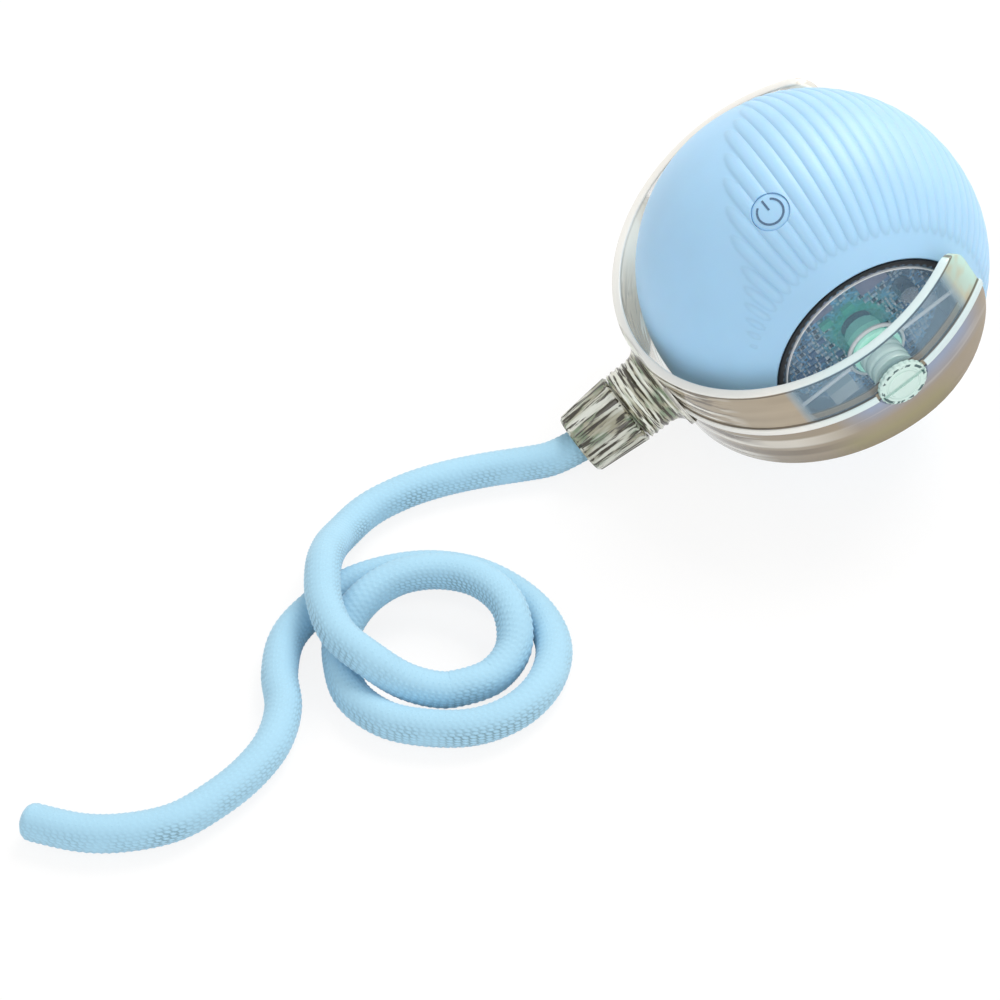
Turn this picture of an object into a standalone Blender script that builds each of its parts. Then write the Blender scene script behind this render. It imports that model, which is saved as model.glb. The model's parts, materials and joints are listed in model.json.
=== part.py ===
"""Self rolling cat ball: a motorised ball in a clear yoke, with a rope tail.

Metres, +Z up. The ball rolls about the world Y axis, the near pole faces -Y, and the neck points to -X
and down. Two empties at the ball's centre carry the pieces. The tilted one has its X pointing away from the
neck, its Y along the axle and its Z square to the yoke. The upright one is for what hangs or is mounted
level inside the ball.
"""

import cmath
import math

import bmesh
import bpy
from mathutils import Matrix, Vector

MM = 0.001

# Fits
GAP = 0.3 * MM  # between neighbours that would touch on the real object
RUNNING_GAP = 0.3 * MM  # round a shaft, pin or screw
OVERRUN = 2.0 * MM  # how far a cutter passes the faces that it opens
WELD = 0.0001 * MM  # doubles closer than this are one point

# Sleeve
BALL_R = 30.0 * MM
SLEEVE_WALL = 1.6 * MM
RIB_RISE = 0.35 * MM
RIB_COUNT = 72
RIB_END_LATITUDE = 42.0
RIB_FADE_LATITUDE = 4.0
RIB_FADE_LONGITUDE = 9.0
# Where the ribs stop: latitude towards the near pole, and longitude from the top towards the neck
RIB_BORDER = ((-45, -12), (-22, -3), (4, 10.7), (22.7, 30), (38, 58), (45, 75))
NECK_LONGITUDE = 90.0
POLE_OVERRUN_ANGLE = 2.7
HOLLOW_REACH_LATITUDE = 75.0

# Core shell
CORE_WALL = 1.8 * MM

# Windows at the poles
WINDOW_DEPTH = 6.6 * MM  # how far the outer face lies inside the ball's outline at the pole
WINDOW_RIM = 0.87 * MM  # from the window's edge to the ball's outline
WINDOW_WALL = 1.5 * MM
HUB_WALL = 1.2 * MM
NEAR_HUB_LENGTH = 4.8 * MM  # behind the outer face
FAR_HUB_LENGTH = 7.7 * MM
BAR_WIDTH = 1.0 * MM
BAR_RISE = 0.6 * MM
BAR_INSET = 0.9 * MM

# Pivots
SPIGOT_R = 1.9 * MM
SPIGOT_LENGTH = 4.4 * MM  # behind the window's outer face
BUSH_WALL = 1.0 * MM
BUSH_FLANGE_R = 4.4 * MM
BUSH_FLANGE_THICK = 0.7 * MM
PIVOT_R = 3.7 * MM
PIVOT_SCREW_R = 1.3 * MM
PIVOT_SCREW_BITE = 3.5 * MM
PIVOT_HEAD_R = 4.4 * MM
PIVOT_HEAD_THICK = 0.9 * MM
PIVOT_HEAD_CHAMFER = 0.25 * MM
SLOT_WIDTH = 0.9 * MM
SLOT_DEPTH = 0.45 * MM

# Yoke
YOKE_CLEARANCE = 0.65 * MM  # over the sleeve's ribs
YOKE_WALL = 1.6 * MM
YOKE_HALF_WIDTH = 11.2 * MM
YOKE_REACH = 128.0  # degrees from the neck to each end
TIP_CORNER = 4.0 * MM  # rounding of each end's upper corner
HEEL_LENGTH = 22.0 * MM  # how far along the band each end's lower corner is drawn in
HEEL_EDGE = 0.25 * MM  # what is left of the band below its rib at the very end
YOKE_RIB_WIDTH = 1.5 * MM
YOKE_RIB_RISE = 0.5 * MM
RIB_END_SHARE = 0.1
YOKE_STEPS = 40
CORNER_STEPS = 4
HEEL_STEPS = 6
PAD_R = 5.6 * MM
PAD_RISE = 0.4 * MM
SPOTFACE_MARGIN = 0.5 * MM
SPOTFACE_DEPTH = 0.5 * MM

# Neck and its rings
NECK_LENGTH = 6.8 * MM  # from the band to the end of the rings
NECK_FLARE = 2.5 * MM
NECK_ROOT_LENGTH = 2.2 * MM
RING_COUNT = 4
RING_DEPTH = 0.45 * MM
RING_FLANK_SHARE = 0.2
NECK_TUBE_WALL = 1.8 * MM
NECK_TUBE_LENGTH = 6.6 * MM

# Clamp collar
COLLAR_WALL = 1.3 * MM
COLLAR_TIP_WALL = 2.5 * MM
COLLAR_LENGTH = 10.6 * MM
KNURL_COUNT = 16
KNURL_DEPTH = 0.3 * MM
COLLAR_CHAMFER = 0.5 * MM

# Rope
ROPE_DIAMETER = 6.0 * MM
ROPE_POINT_COUNT = 78
FERRULE_LENGTH = 7.7 * MM
FERRULE_NECK_LENGTH = 2.0 * MM
FERRULE_BARB = 0.5 * MM
ROPE_LIE = 0.02 * MM  # how far the rope's lowest points stay above the floor
# The route in millimetres: X and Y from the spot under the ball's centre, and the height of the rope's middle
ROPE_ROUTE = (
    (-48.6, 0.3, 3.5),
    (-53.5, 1.4, 3.06),
    (-61, 2.9, 3.02),
    (-68.5, 3.7, 3.02),
    (-75.5, 3.4, 3.02),
    (-82.5, 1.6, 3.1),
    (-88.4, -2.6, 4.1),
    (-92.7, -8.2, 7.3),
    (-96, -14.5, 9.7),
    (-98.4, -21.6, 9.9),
    (-98.8, -29, 9.6),
    (-96, -35.4, 8.6),
    (-91.2, -39.6, 5.2),
    (-85, -42.1, 3.05),
    (-78, -42.3, 3.05),
    (-72.5, -39, 4.4),
    (-70.6, -33, 7.2),
    (-72.6, -26.3, 8),
    (-77.7, -21.1, 7.6),
    (-84.5, -19, 7.1),
    (-91.2, -20, 5.6),
    (-96.4, -23.5, 3.3),
    (-99, -30, 3.02),
    (-99.7, -37.1, 3.02),
    (-96.6, -43.9, 3.02),
    (-90.7, -48.5, 3.02),
    (-83.9, -51.1, 3.02),
    (-76.6, -50.5, 3.02),
    (-70.3, -46.8, 3.02),
    (-66.1, -40.7, 3.02),
    (-65.3, -33.3, 3.02),
    (-67.4, -26, 3.02),
    (-71.5, -19.8, 3.02),
    (-77.5, -15.5, 3.02),
    (-84.6, -13.6, 3.02),
    (-92, -13.8, 3.02),
    (-99, -16.4, 3.02),
    (-105, -20.8, 3.02),
    (-108.8, -27.6, 3.02),
    (-110.8, -34.9, 3.02),
    (-114.7, -41, 3.02),
    (-120.4, -45.5, 3.02),
    (-127, -48.5, 3.02),
    (-134, -50.2, 3.02),
    (-141.3, -49.2, 3.02),
    (-148, -46.3, 3.02),
    (-155.6, -40.1, 3.02),
)
ROPE_SAMPLE_COUNT = 900
ROPE_APART_SHARE = 2.2  # two places on the rope count as two strands from this many diameters along it

# Power button and its switch
BUTTON_LATITUDE = 20.8
BUTTON_LONGITUDE = 0.2
BUTTON_R = 3.2 * MM
BUTTON_PROUD = 0.15 * MM
BUTTON_HEIGHT = 4.6 * MM
BUTTON_DOME = 0.2 * MM
BUTTON_THICK = 1.15 * MM
BUTTON_STEM_R = 1.9 * MM
BUTTON_TRAVEL = 0.6 * MM
SWITCH_SIDE = 6.0 * MM
SWITCH_HEIGHT = 2.9 * MM
PLUNGER_R = 1.7 * MM
PLUNGER_SLACK = 0.05 * MM
SWITCH_BOARD_WALL = 1.0 * MM
SWITCH_CUP_WALL = 1.0 * MM

# Chassis and shell screws
CHASSIS_WALL = 1.4 * MM
SHELL_SPLIT = 0.15 * MM  # each half's edge from the middle plane
SCREW_CIRCLE_INSET = 4.3 * MM  # from the shell's inside to the middle of a screw
EAR_LENGTH = 4.5 * MM  # from the chassis plate's rim to the middle of a screw
SHELL_SCREW_COUNT = 3
SHELL_BOSS_R = 2.4 * MM
SHELL_SCREW_R = 1.0 * MM
SHELL_SCREW_SEAT = 11.0 * MM
SHELL_SCREW_BITE = 6.0 * MM
SHELL_HEAD_R = 1.9 * MM
SHELL_HEAD_THICK = 1.4 * MM
BOSS_SINK = 0.5 * MM  # how deep a boss reaches into the wall that carries it
EAR_WIDTH = 4.8 * MM

# Drive train
GEAR_TOOTH_COUNT = 40
PINION_TOOTH_COUNT = 10
GEAR_WIDTH = 1.8 * MM
GEAR_SLACK = 0.2 * MM  # added to the distance between the two shafts
ADDENDUM_SHARE = 0.9
DEDENDUM_SHARE = 1.15
TOOTH_ROOT_SHARE = 0.62
TOOTH_TIP_SHARE = 0.22
AXLE_R = 1.5 * MM
AXLE_CLIP_R = 3.0 * MM
AXLE_CLIP_THICK = 0.6 * MM
AXLE_END_LENGTH = 0.8 * MM
AXLE_BUSH_WALL = 1.2 * MM
AXLE_BUSH_REACH = 0.9 * MM
WEIGHT_TO_BOSS = 0.8 * MM
WEIGHT_TO_HUB = 1.2 * MM
WEIGHT_HUB_R = 4.2 * MM
MOTOR_R = 5.0 * MM
MOTOR_TO_BOARD = 3.3 * MM
MOTOR_TO_SHELL = 2.83 * MM
MOTOR_SHAFT_R = 0.75 * MM
MOTOR_SHAFT_BITE = 4.7 * MM
TERMINAL_WIDTH = 0.6 * MM
TERMINAL_HEIGHT = 2.0 * MM
TERMINAL_LENGTH = 1.5 * MM
TERMINAL_OFFSET = 3.0 * MM
CRADLE_WALL = 1.1 * MM
CRADLE_LENGTH = 9.0 * MM
CRADLE_MOUTH = 5.0 * MM

# Battery
BATTERY_BASE = 4.9 * MM  # underside above the axle
BATTERY_TO_BOARD = 2.3 * MM
BATTERY_SIDE = 5.2 * MM  # from its side to the main board's rim

# Main board and what it carries
BOARD_TO_BOSS = 4.4 * MM
BOARD_TO_HUB = 1.6 * MM  # from the side with the parts to the near window's hub
BOARD_WALL = 1.2 * MM
BOARD_HOLE_R = 3.0 * MM
POST_R = 1.9 * MM
POST_INSET = 2.3 * MM  # from the board's rim
POST_ANGLES = (7.0, 173.0)
PEG_ANGLES = (-38.0, -142.0)
BOARD_SCREW_R = 0.8 * MM
BOARD_SCREW_BITE = 4.2 * MM
BOARD_HEAD_R = 1.6 * MM
BOARD_HEAD_THICK = 1.0 * MM
CONTROLLER_SIZE = (5.4 * MM, 1.1 * MM, 3.7 * MM)
DRIVER_SIZE = (4.2 * MM, 1.0 * MM, 3.6 * MM)
CONNECTOR_SIZE = (4.8 * MM, 2.8 * MM, 3.2 * MM)
LIGHT_SIZE = (2.2 * MM, 0.8 * MM, 1.4 * MM)
CAPACITOR_R = 1.7 * MM
CAPACITOR_HEIGHT = 3.0 * MM
# Places on the board, as shares of its radius
CONTROLLER_SHARES = (0.4, 0.56)
DRIVER_SHARES = (-0.24, 0.67)
CONNECTOR_SHARES = (-0.56, -0.55)
LIGHT_SHARES = ((-0.27, 0.37), (0.02, 0.37))
CAPACITOR_SHARES = (0.645, 0.118)

# Charge port in the far window
PORT_SIZE = (8.9 * MM, 6.4 * MM, 3.2 * MM)
PORT_WALL = 0.6 * MM
PORT_MOUTH_DEPTH = 4.6 * MM
PORT_TO_HUB = 2.2 * MM
PORT_INSET = 0.5 * MM
PORT_BOARD_SIZE = (11.0 * MM, 6.4 * MM, 1.0 * MM)

# Mesh fineness
ROUND = 20
SMALL_ROUND = 12
WIDE_ROUND = 36
ARC_STEPS = 5
LOBE_STEPS = 6
RIM_STEPS = 5
SLEEVE_LATITUDES = (43, 40, 27, 13.5, 0)

# Sizes that follow from the ones above
AXLE_NEAR = Vector((0, -1, 0))
AXLE_FAR = Vector((0, 1, 0))
NECK = Vector((-1, 0, 0))
ORIGIN = ((0, 0, 0),)
ROPE_R = ROPE_DIAMETER / 2
SLEEVE_INNER_R = BALL_R - SLEEVE_WALL
CORE_R = SLEEVE_INNER_R - GAP
CORE_INNER_R = CORE_R - CORE_WALL
WINDOW_FACE = BALL_R - WINDOW_DEPTH
WINDOW_R = math.sqrt(BALL_R**2 - WINDOW_FACE**2) - WINDOW_RIM
SLEEVE_HOLE_R = WINDOW_R + GAP
SLEEVE_END_LATITUDE = math.degrees(math.asin(WINDOW_FACE / BALL_R)) + POLE_OVERRUN_ANGLE
WINDOW_BACK = WINDOW_FACE - WINDOW_WALL
POLE_FLAT = WINDOW_BACK - GAP
NEAR_HUB_END = WINDOW_FACE - NEAR_HUB_LENGTH
FAR_HUB_END = WINDOW_FACE - FAR_HUB_LENGTH
SPIGOT_END = WINDOW_FACE - SPIGOT_LENGTH
BUSH_BORE_R = SPIGOT_R + RUNNING_GAP
BUSH_R = BUSH_BORE_R + BUSH_WALL
HUB_BORE_R = BUSH_R + GAP
HUB_R = HUB_BORE_R + HUB_WALL
BUSH_FLANGE_SEAT = WINDOW_FACE + GAP
BUSH_FACE = BUSH_FLANGE_SEAT + BUSH_FLANGE_THICK
BALL_BOTTOM = BALL_R + RIB_RISE
YOKE_INNER_R = BALL_BOTTOM + YOKE_CLEARANCE
YOKE_R = YOKE_INNER_R + YOKE_WALL
HEEL_WIDTH = YOKE_HALF_WIDTH - YOKE_RIB_WIDTH / 2 - HEEL_EDGE
PAD_FACE = YOKE_INNER_R - PAD_RISE
PIVOT_FACE = PAD_FACE - GAP
PIVOT_SHOULDER = BUSH_FACE + GAP
SPOTFACE = YOKE_R - SPOTFACE_DEPTH
PIVOT_SCREW_HOLE_R = PIVOT_SCREW_R + RUNNING_GAP
PIVOT_HEAD_SEAT = SPOTFACE + GAP
PIVOT_HEAD_FACE = PIVOT_HEAD_SEAT + PIVOT_HEAD_THICK
SPOTFACE_R = PIVOT_HEAD_R + SPOTFACE_MARGIN
NECK_BORE_R = ROPE_R + GAP
NECK_TUBE_R = NECK_BORE_R + NECK_TUBE_WALL
COLLAR_BORE_R = NECK_TUBE_R + GAP
COLLAR_R = COLLAR_BORE_R + COLLAR_WALL
COLLAR_TIP_R = NECK_BORE_R + COLLAR_TIP_WALL
NECK_R = COLLAR_R
NECK_ROOT_R = NECK_R + NECK_FLARE
NECK_END = YOKE_R + NECK_LENGTH
NECK_TUBE_END = NECK_END + NECK_TUBE_LENGTH
COLLAR_START = NECK_END + GAP
COLLAR_STEP = NECK_TUBE_END + GAP
COLLAR_END = COLLAR_START + COLLAR_LENGTH
COLLAR_SLOPE_REACH = math.hypot(COLLAR_END, COLLAR_TIP_R)
# The neck tips down until the collar's end rests on the floor that the ball stands on
TILT = math.asin(BALL_BOTTOM / COLLAR_SLOPE_REACH) - math.atan2(COLLAR_TIP_R, COLLAR_END)
NECK_REACH = COLLAR_END * math.cos(TILT) + COLLAR_TIP_R * math.sin(TILT)
CENTRE = Vector(((NECK_REACH - BALL_BOTTOM) / 2, 0, BALL_BOTTOM))
ROPE_START = NECK_TUBE_END - ROPE_R / 2
FERRULE_END = ROPE_START - GAP
FERRULE_START = FERRULE_END - FERRULE_LENGTH
NECK_BORE_END = FERRULE_START - GAP
CHASSIS_NEAR = 2 * GAP  # the chassis plate's near face, just past the middle plane
CHASSIS_FAR = CHASSIS_NEAR + CHASSIS_WALL
GEAR_START = CHASSIS_FAR + 2 * GAP
GEAR_END = GEAR_START + GEAR_WIDTH
WEIGHT_START = GEAR_END + GAP
WEIGHT_END = FAR_HUB_END - WEIGHT_TO_HUB
SCREW_CIRCLE_R = CORE_INNER_R - SCREW_CIRCLE_INSET
BOSS_CIRCLE_R = SCREW_CIRCLE_R - SHELL_BOSS_R  # what is inside the bosses has this much room
WEIGHT_R = BOSS_CIRCLE_R - WEIGHT_TO_BOSS
CHASSIS_R = SCREW_CIRCLE_R - EAR_LENGTH
AXLE_BORE_R = AXLE_R + RUNNING_GAP
AXLE_BUSH_R = AXLE_BORE_R + AXLE_BUSH_WALL
AXLE_POCKET_END = NEAR_HUB_END - GAP
AXLE_FAR_END = AXLE_POCKET_END - GAP
AXLE_CLIP_FACE = -AXLE_BUSH_REACH - GAP
AXLE_NEAR_END = AXLE_CLIP_FACE - AXLE_CLIP_THICK - AXLE_END_LENGTH
BOARD_FACE = NEAR_HUB_END - BOARD_TO_HUB
BOARD_BACK = BOARD_FACE - BOARD_WALL
BOARD_R = BOSS_CIRCLE_R - BOARD_TO_BOSS
POST_CIRCLE_R = BOARD_R - POST_INSET
POST_END = BOARD_BACK - GAP
MOTOR_FACE = CHASSIS_NEAR - GAP
MOTOR_BACK = MOTOR_TO_BOARD - BOARD_BACK
MOTOR_ROOM_R = math.sqrt(CORE_INNER_R**2 - MOTOR_BACK**2)
SHAFT_DISTANCE = MOTOR_ROOM_R - MOTOR_TO_SHELL - MOTOR_R
GEAR_MODULE = 2 * (SHAFT_DISTANCE - GEAR_SLACK) / (GEAR_TOOTH_COUNT + PINION_TOOTH_COUNT)
PART_SEAT = BOARD_FACE + GAP
SHELL_SCREW_HOLE_R = SHELL_SCREW_R + RUNNING_GAP
BOARD_SCREW_HOLE_R = BOARD_SCREW_R + RUNNING_GAP
BUTTON_TOP = BALL_R + BUTTON_PROUD
BUTTON_STEM_END = BUTTON_TOP - BUTTON_HEIGHT
PLUNGER_END = BUTTON_STEM_END - BUTTON_TRAVEL - PLUNGER_SLACK
SWITCH_TOP = PLUNGER_END - GAP
SWITCH_BASE = SWITCH_TOP - SWITCH_HEIGHT
SWITCH_BOARD_FACE = SWITCH_BASE - GAP
SWITCH_CUP_R = math.hypot(SWITCH_SIDE, SWITCH_SIDE) / 2 + GAP
SWITCH_CUP_OUTER_R = SWITCH_CUP_R + SWITCH_CUP_WALL
SWITCH_BOARD_BACK = SWITCH_BOARD_FACE - SWITCH_BOARD_WALL
# The button's direction against the vertical, and how low its board reaches over the battery
BUTTON_RISE = math.cos(math.radians(BUTTON_LATITUDE)) * math.cos(math.radians(BUTTON_LONGITUDE) + TILT)
SWITCH_LOW = SWITCH_BOARD_BACK * BUTTON_RISE - SWITCH_CUP_OUTER_R * math.sqrt(1 - BUTTON_RISE**2)
BATTERY_TOP = SWITCH_LOW - GAP
BATTERY_BACK = BATTERY_TO_BOARD - BOARD_BACK
BATTERY_SIZE = (2 * (BOARD_R - BATTERY_SIDE), MOTOR_FACE - BATTERY_BACK, BATTERY_TOP - BATTERY_BASE)
PORT_FACE = WINDOW_FACE - PORT_INSET
PORT_BACK = PORT_FACE - PORT_SIZE[1]
PORT_DROP = HUB_R + PORT_TO_HUB + PORT_SIZE[2] / 2


def clear_scene():
    for old in list(bpy.data.objects):
        bpy.data.objects.remove(old, do_unlink=True)


def frame(name, tilt):
    """An empty at the ball's centre, turned about the axle."""
    empty = bpy.data.objects.new(name, None)
    bpy.context.scene.collection.objects.link(empty)
    empty.location = CENTRE
    empty.rotation_euler = (0, -tilt, 0)
    return empty


def linear(share):
    return share / 12.92 if share <= 0.04045 else ((share + 0.055) / 1.055) ** 2.4


def dress(piece, name, colour, roughness, metallic=0.0, alpha=1.0):
    """Gives a node its own material: colour is an sRGB hex value."""
    material = bpy.data.materials.new(name)
    material.use_nodes = True
    channels = [linear(int(colour[i : i + 2], 16) / 255) for i in (0, 2, 4)]
    shader = material.node_tree.nodes["Principled BSDF"]
    shader.inputs["Base Color"].default_value = (*channels, 1)
    shader.inputs["Roughness"].default_value = roughness
    shader.inputs["Metallic"].default_value = metallic
    shader.inputs["Alpha"].default_value = alpha
    piece.data.materials.append(material)


def made(name, bm, parent):
    """The bmesh as a smooth-shaded object under a frame."""
    bmesh.ops.remove_doubles(bm, verts=bm.verts, dist=WELD)
    bmesh.ops.dissolve_degenerate(bm, edges=bm.edges, dist=WELD)
    bmesh.ops.recalc_face_normals(bm, faces=bm.faces)
    mesh = bpy.data.meshes.new(name)
    bm.to_mesh(mesh)
    bm.free()
    mesh.shade_smooth()
    mesh.set_sharp_from_angle(angle=math.radians(35))
    piece = bpy.data.objects.new(name, mesh)
    bpy.context.scene.collection.objects.link(piece)
    piece.parent = parent
    return piece


def towards(axis):
    """The turn that takes +Z to this axis."""
    return Vector((0, 0, 1)).rotation_difference(Vector(axis)).to_matrix().to_4x4()


def turned(name, outline, axis, parent, places=ORIGIN, segments=ROUND):
    """A closed outline of (radius, distance along the axis) points, turned about the axis at each place."""
    bm = bmesh.new()
    for place in places:
        points = [bm.verts.new((radius, 0, along)) for radius, along in outline]
        pairs = list(zip(points, points[1:] + points[:1]))
        edges = [bm.edges.new(pair) for pair in pairs if pair[0].co.x > 0 or pair[1].co.x > 0]
        whole = {"angle": math.tau, "steps": segments, "use_merge": True}
        bmesh.ops.spin(bm, geom=points + edges, cent=(0, 0, 0), axis=(0, 0, 1), **whole)
        fresh = [corner for corner in bm.verts if not corner.tag]
        placing = Matrix.Translation(place) @ towards(axis)
        bmesh.ops.transform(bm, matrix=placing, verts=fresh)
        for corner in fresh:
            corner.tag = True
    return made(name, bm, parent)


def rod(name, radius, start, end, axis, parent, places=ORIGIN, segments=ROUND):
    outline = [(0, start), (radius, start), (radius, end), (0, end)]
    return turned(name, outline, axis, parent, places, segments)


def tube(name, inner, outer, start, end, axis, parent, places=ORIGIN, segments=ROUND):
    outline = [(inner, start), (outer, start), (outer, end), (inner, end)]
    return turned(name, outline, axis, parent, places, segments)


def block(name, size, centre, parent, turn=None):
    bm = bmesh.new()
    bmesh.ops.create_cube(bm, size=1.0)
    bmesh.ops.scale(bm, vec=size, verts=bm.verts)
    bmesh.ops.translate(bm, vec=centre, verts=bm.verts)
    if turn is not None:
        bmesh.ops.transform(bm, matrix=turn, verts=bm.verts)
    return made(name, bm, parent)


def plate(name, outline, start, end, parent):
    """An outline of (X, Z) points made thick along the axle, from start to end."""
    bm = bmesh.new()
    face = bm.faces.new([bm.verts.new((x, start, z)) for x, z in outline])
    walls = bmesh.ops.extrude_face_region(bm, geom=[face])
    moved = [part for part in walls["geom"] if isinstance(part, bmesh.types.BMVert)]
    bmesh.ops.translate(bm, vec=(0, end - start, 0), verts=moved)
    return made(name, bm, parent)


def helper(piece):
    piece.hide_render = True
    piece.display_type = "WIRE"
    return piece


def boolean(target, other, operation):
    modifier = target.modifiers.new(f"{operation.lower()} {other.name}", "BOOLEAN")
    modifier.operation = operation
    modifier.solver = "EXACT"
    modifier.object = helper(other)


def join(target, *pieces):
    for piece in pieces:
        boolean(target, piece, "UNION")


def cut(target, *pieces):
    for piece in pieces:
        boolean(target, piece, "DIFFERENCE")


def arc(radius, start_latitude, end_latitude, steps):
    """Points of a ball's outline about the axle: (radius from the axle, distance along it)."""
    stops = [start_latitude + (end_latitude - start_latitude) * i / steps for i in range(steps + 1)]
    return [(radius * math.cos(stop), radius * math.sin(stop)) for stop in stops]


def on_ball(latitude, longitude):
    """A direction in the tilted frame: degrees towards the near pole, and from the top towards the neck."""
    lat, lon = math.radians(latitude), math.radians(longitude)
    return Vector((-math.cos(lat) * math.sin(lon), -math.sin(lat), math.cos(lat) * math.cos(lon)))


def rib_border(latitude):
    """How far from the neck's side the ribs stop, as degrees of longitude from the top."""
    for (low, first), (high, second) in zip(RIB_BORDER, RIB_BORDER[1:]):
        if latitude <= high:
            share = max(0.0, (latitude - low) / (high - low))
            return first + (second - first) * share
    return RIB_BORDER[-1][1]


def rib_share(latitude, longitude):
    """1 where the ribs stand at full height, 0 where the sleeve is smooth."""
    from_neck = abs((longitude - NECK_LONGITUDE + 180) % 360 - 180)
    edge = NECK_LONGITUDE - rib_border(latitude)
    across = min(1.0, max(0.0, (from_neck - edge) / RIB_FADE_LONGITUDE))
    along = min(1.0, max(0.0, (RIB_END_LATITUDE - abs(latitude)) / RIB_FADE_LATITUDE + 0.5))
    return across * along


def ball_solid(name, radius, parent):
    """A ball about the axle, cut flat close to both poles."""
    limit = math.radians(HOLLOW_REACH_LATITUDE)
    outline = arc(radius, -limit, limit, 2 * ARC_STEPS + 2)
    outline = [(0, outline[0][1]), *outline, (0, outline[-1][1])]
    return turned(name, outline, AXLE_FAR, parent, segments=WIDE_ROUND)


def make_sleeve(parent):
    """The ribbed outer ball, hollowed for the core and opened at both poles and at the button."""
    latitudes = [-SLEEVE_END_LATITUDE, *(-lat for lat in SLEEVE_LATITUDES)]
    latitudes += [*reversed(SLEEVE_LATITUDES[:-1]), SLEEVE_END_LATITUDE]
    columns = 2 * RIB_COUNT
    bm = bmesh.new()
    rows = []
    for latitude in latitudes:
        row = []
        for column in range(columns):
            longitude = 360 * column / columns
            crest = RIB_RISE * rib_share(latitude, longitude) if column % 2 == 0 else 0
            row.append(bm.verts.new(on_ball(latitude, longitude) * (BALL_R + crest)))
        rows.append(row)
    for low, high in zip(rows, rows[1:]):
        for i in range(columns):
            j = (i + 1) % columns
            bm.faces.new((low[i], low[j], high[j], high[i]))
    bm.faces.new(rows[0])
    bm.faces.new(rows[-1])
    sleeve = made("silicone_sleeve", bm, parent)
    cut(sleeve, ball_solid("sleeve_hollow", SLEEVE_INNER_R, parent))
    reach = BALL_R + OVERRUN
    cut(sleeve, rod("sleeve_poles", SLEEVE_HOLE_R, -reach, reach, AXLE_FAR, parent, segments=WIDE_ROUND))
    hole_r = BUTTON_R + GAP
    button_axis = on_ball(BUTTON_LATITUDE, BUTTON_LONGITUDE)
    cut(sleeve, rod("sleeve_button_hole", hole_r, CORE_INNER_R, reach, button_axis, parent))
    dress(sleeve, "moulded silicone", "a9d3ec", 0.6)


def core_outline(split):
    """One half of the core shell: outer arc, flat seat for the window, and inner arc."""
    outer_split, inner_split = math.asin(split / CORE_R), math.asin(split / CORE_INNER_R)
    outer_pole, inner_pole = math.asin(POLE_FLAT / CORE_R), math.asin(POLE_FLAT / CORE_INNER_R)
    outer = arc(CORE_R, outer_split, outer_pole, ARC_STEPS)
    return outer + arc(CORE_INNER_R, inner_pole, inner_split, ARC_STEPS)


def shell_screw_places():
    turns = [math.radians(90 + 360 * i / SHELL_SCREW_COUNT) for i in range(SHELL_SCREW_COUNT)]
    return [(SCREW_CIRCLE_R * math.cos(turn), 0, SCREW_CIRCLE_R * math.sin(turn)) for turn in turns]


def shell_bosses(name, way, start, parent):
    """Screw bosses from near the middle plane into the shell's wall, where each ends on a slope."""
    bm = bmesh.new()
    middle_r = (CORE_R + CORE_INNER_R) / 2
    wall = math.sqrt(middle_r**2 - SCREW_CIRCLE_R**2)
    for px, _, pz in shell_screw_places():
        low, high = [], []
        for i in range(SMALL_ROUND):
            turn = math.tau * i / SMALL_ROUND
            x, z = px + SHELL_BOSS_R * math.cos(turn), pz + SHELL_BOSS_R * math.sin(turn)
            low.append(bm.verts.new((x, way * start, z)))
            high.append(bm.verts.new((x, way * (middle_r**2 - x * px - z * pz) / wall, z)))
        for i in range(SMALL_ROUND):
            j = (i + 1) % SMALL_ROUND
            bm.faces.new((low[i], low[j], high[j], high[i]))
        bm.faces.new(low)
        bm.faces.new(high)
    return made(name, bm, parent)


def make_core(tilted, upright):
    """Two half shells that screw together along the axle, with the chassis clamped between their bosses."""
    near = turned("core_half_near", core_outline(SHELL_SPLIT), AXLE_NEAR, tilted, segments=WIDE_ROUND)
    far = turned("core_half_far", core_outline(SHELL_SPLIT), AXLE_FAR, tilted, segments=WIDE_ROUND)
    join(near, shell_bosses("near_bosses", -1, GAP - CHASSIS_NEAR, upright))
    join(far, shell_bosses("far_bosses", 1, CHASSIS_FAR + GAP, upright))
    places = shell_screw_places()
    pilot = [(0, -OVERRUN), (SHELL_SCREW_HOLE_R, -OVERRUN), (SHELL_SCREW_HOLE_R, SHELL_SCREW_BITE + GAP)]
    pilot.append((0, SHELL_SCREW_BITE + GAP))
    cut(near, turned("near_pilots", pilot, AXLE_NEAR, upright, places, SMALL_ROUND))
    sink_r = SHELL_HEAD_R + RUNNING_GAP
    sink = [(0, 0), (SHELL_SCREW_HOLE_R, 0), (SHELL_SCREW_HOLE_R, SHELL_SCREW_SEAT)]
    sink += [(sink_r, SHELL_SCREW_SEAT), (sink_r, CORE_R), (0, CORE_R)]
    cut(far, turned("far_sinks", sink, AXLE_FAR, upright, places, SMALL_ROUND))
    axis = on_ball(BUTTON_LATITUDE, BUTTON_LONGITUDE)
    cup_base = SWITCH_BOARD_FACE + GAP
    join(near, rod("switch_cup", SWITCH_CUP_OUTER_R, cup_base, CORE_INNER_R + BOSS_SINK, axis, tilted))
    stem_r = BUTTON_STEM_R + RUNNING_GAP
    low, high = SWITCH_BOARD_FACE - OVERRUN, SWITCH_TOP + GAP
    room = [(0, low), (SWITCH_CUP_R, low), (SWITCH_CUP_R, high), (stem_r, high)]
    room += [(stem_r, BALL_R), (0, BALL_R)]
    cut(near, turned("switch_room", room, axis, tilted))
    dress(near, "core plastic near", "2c3440", 0.5)
    dress(far, "core plastic far", "2c3440", 0.5)


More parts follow.
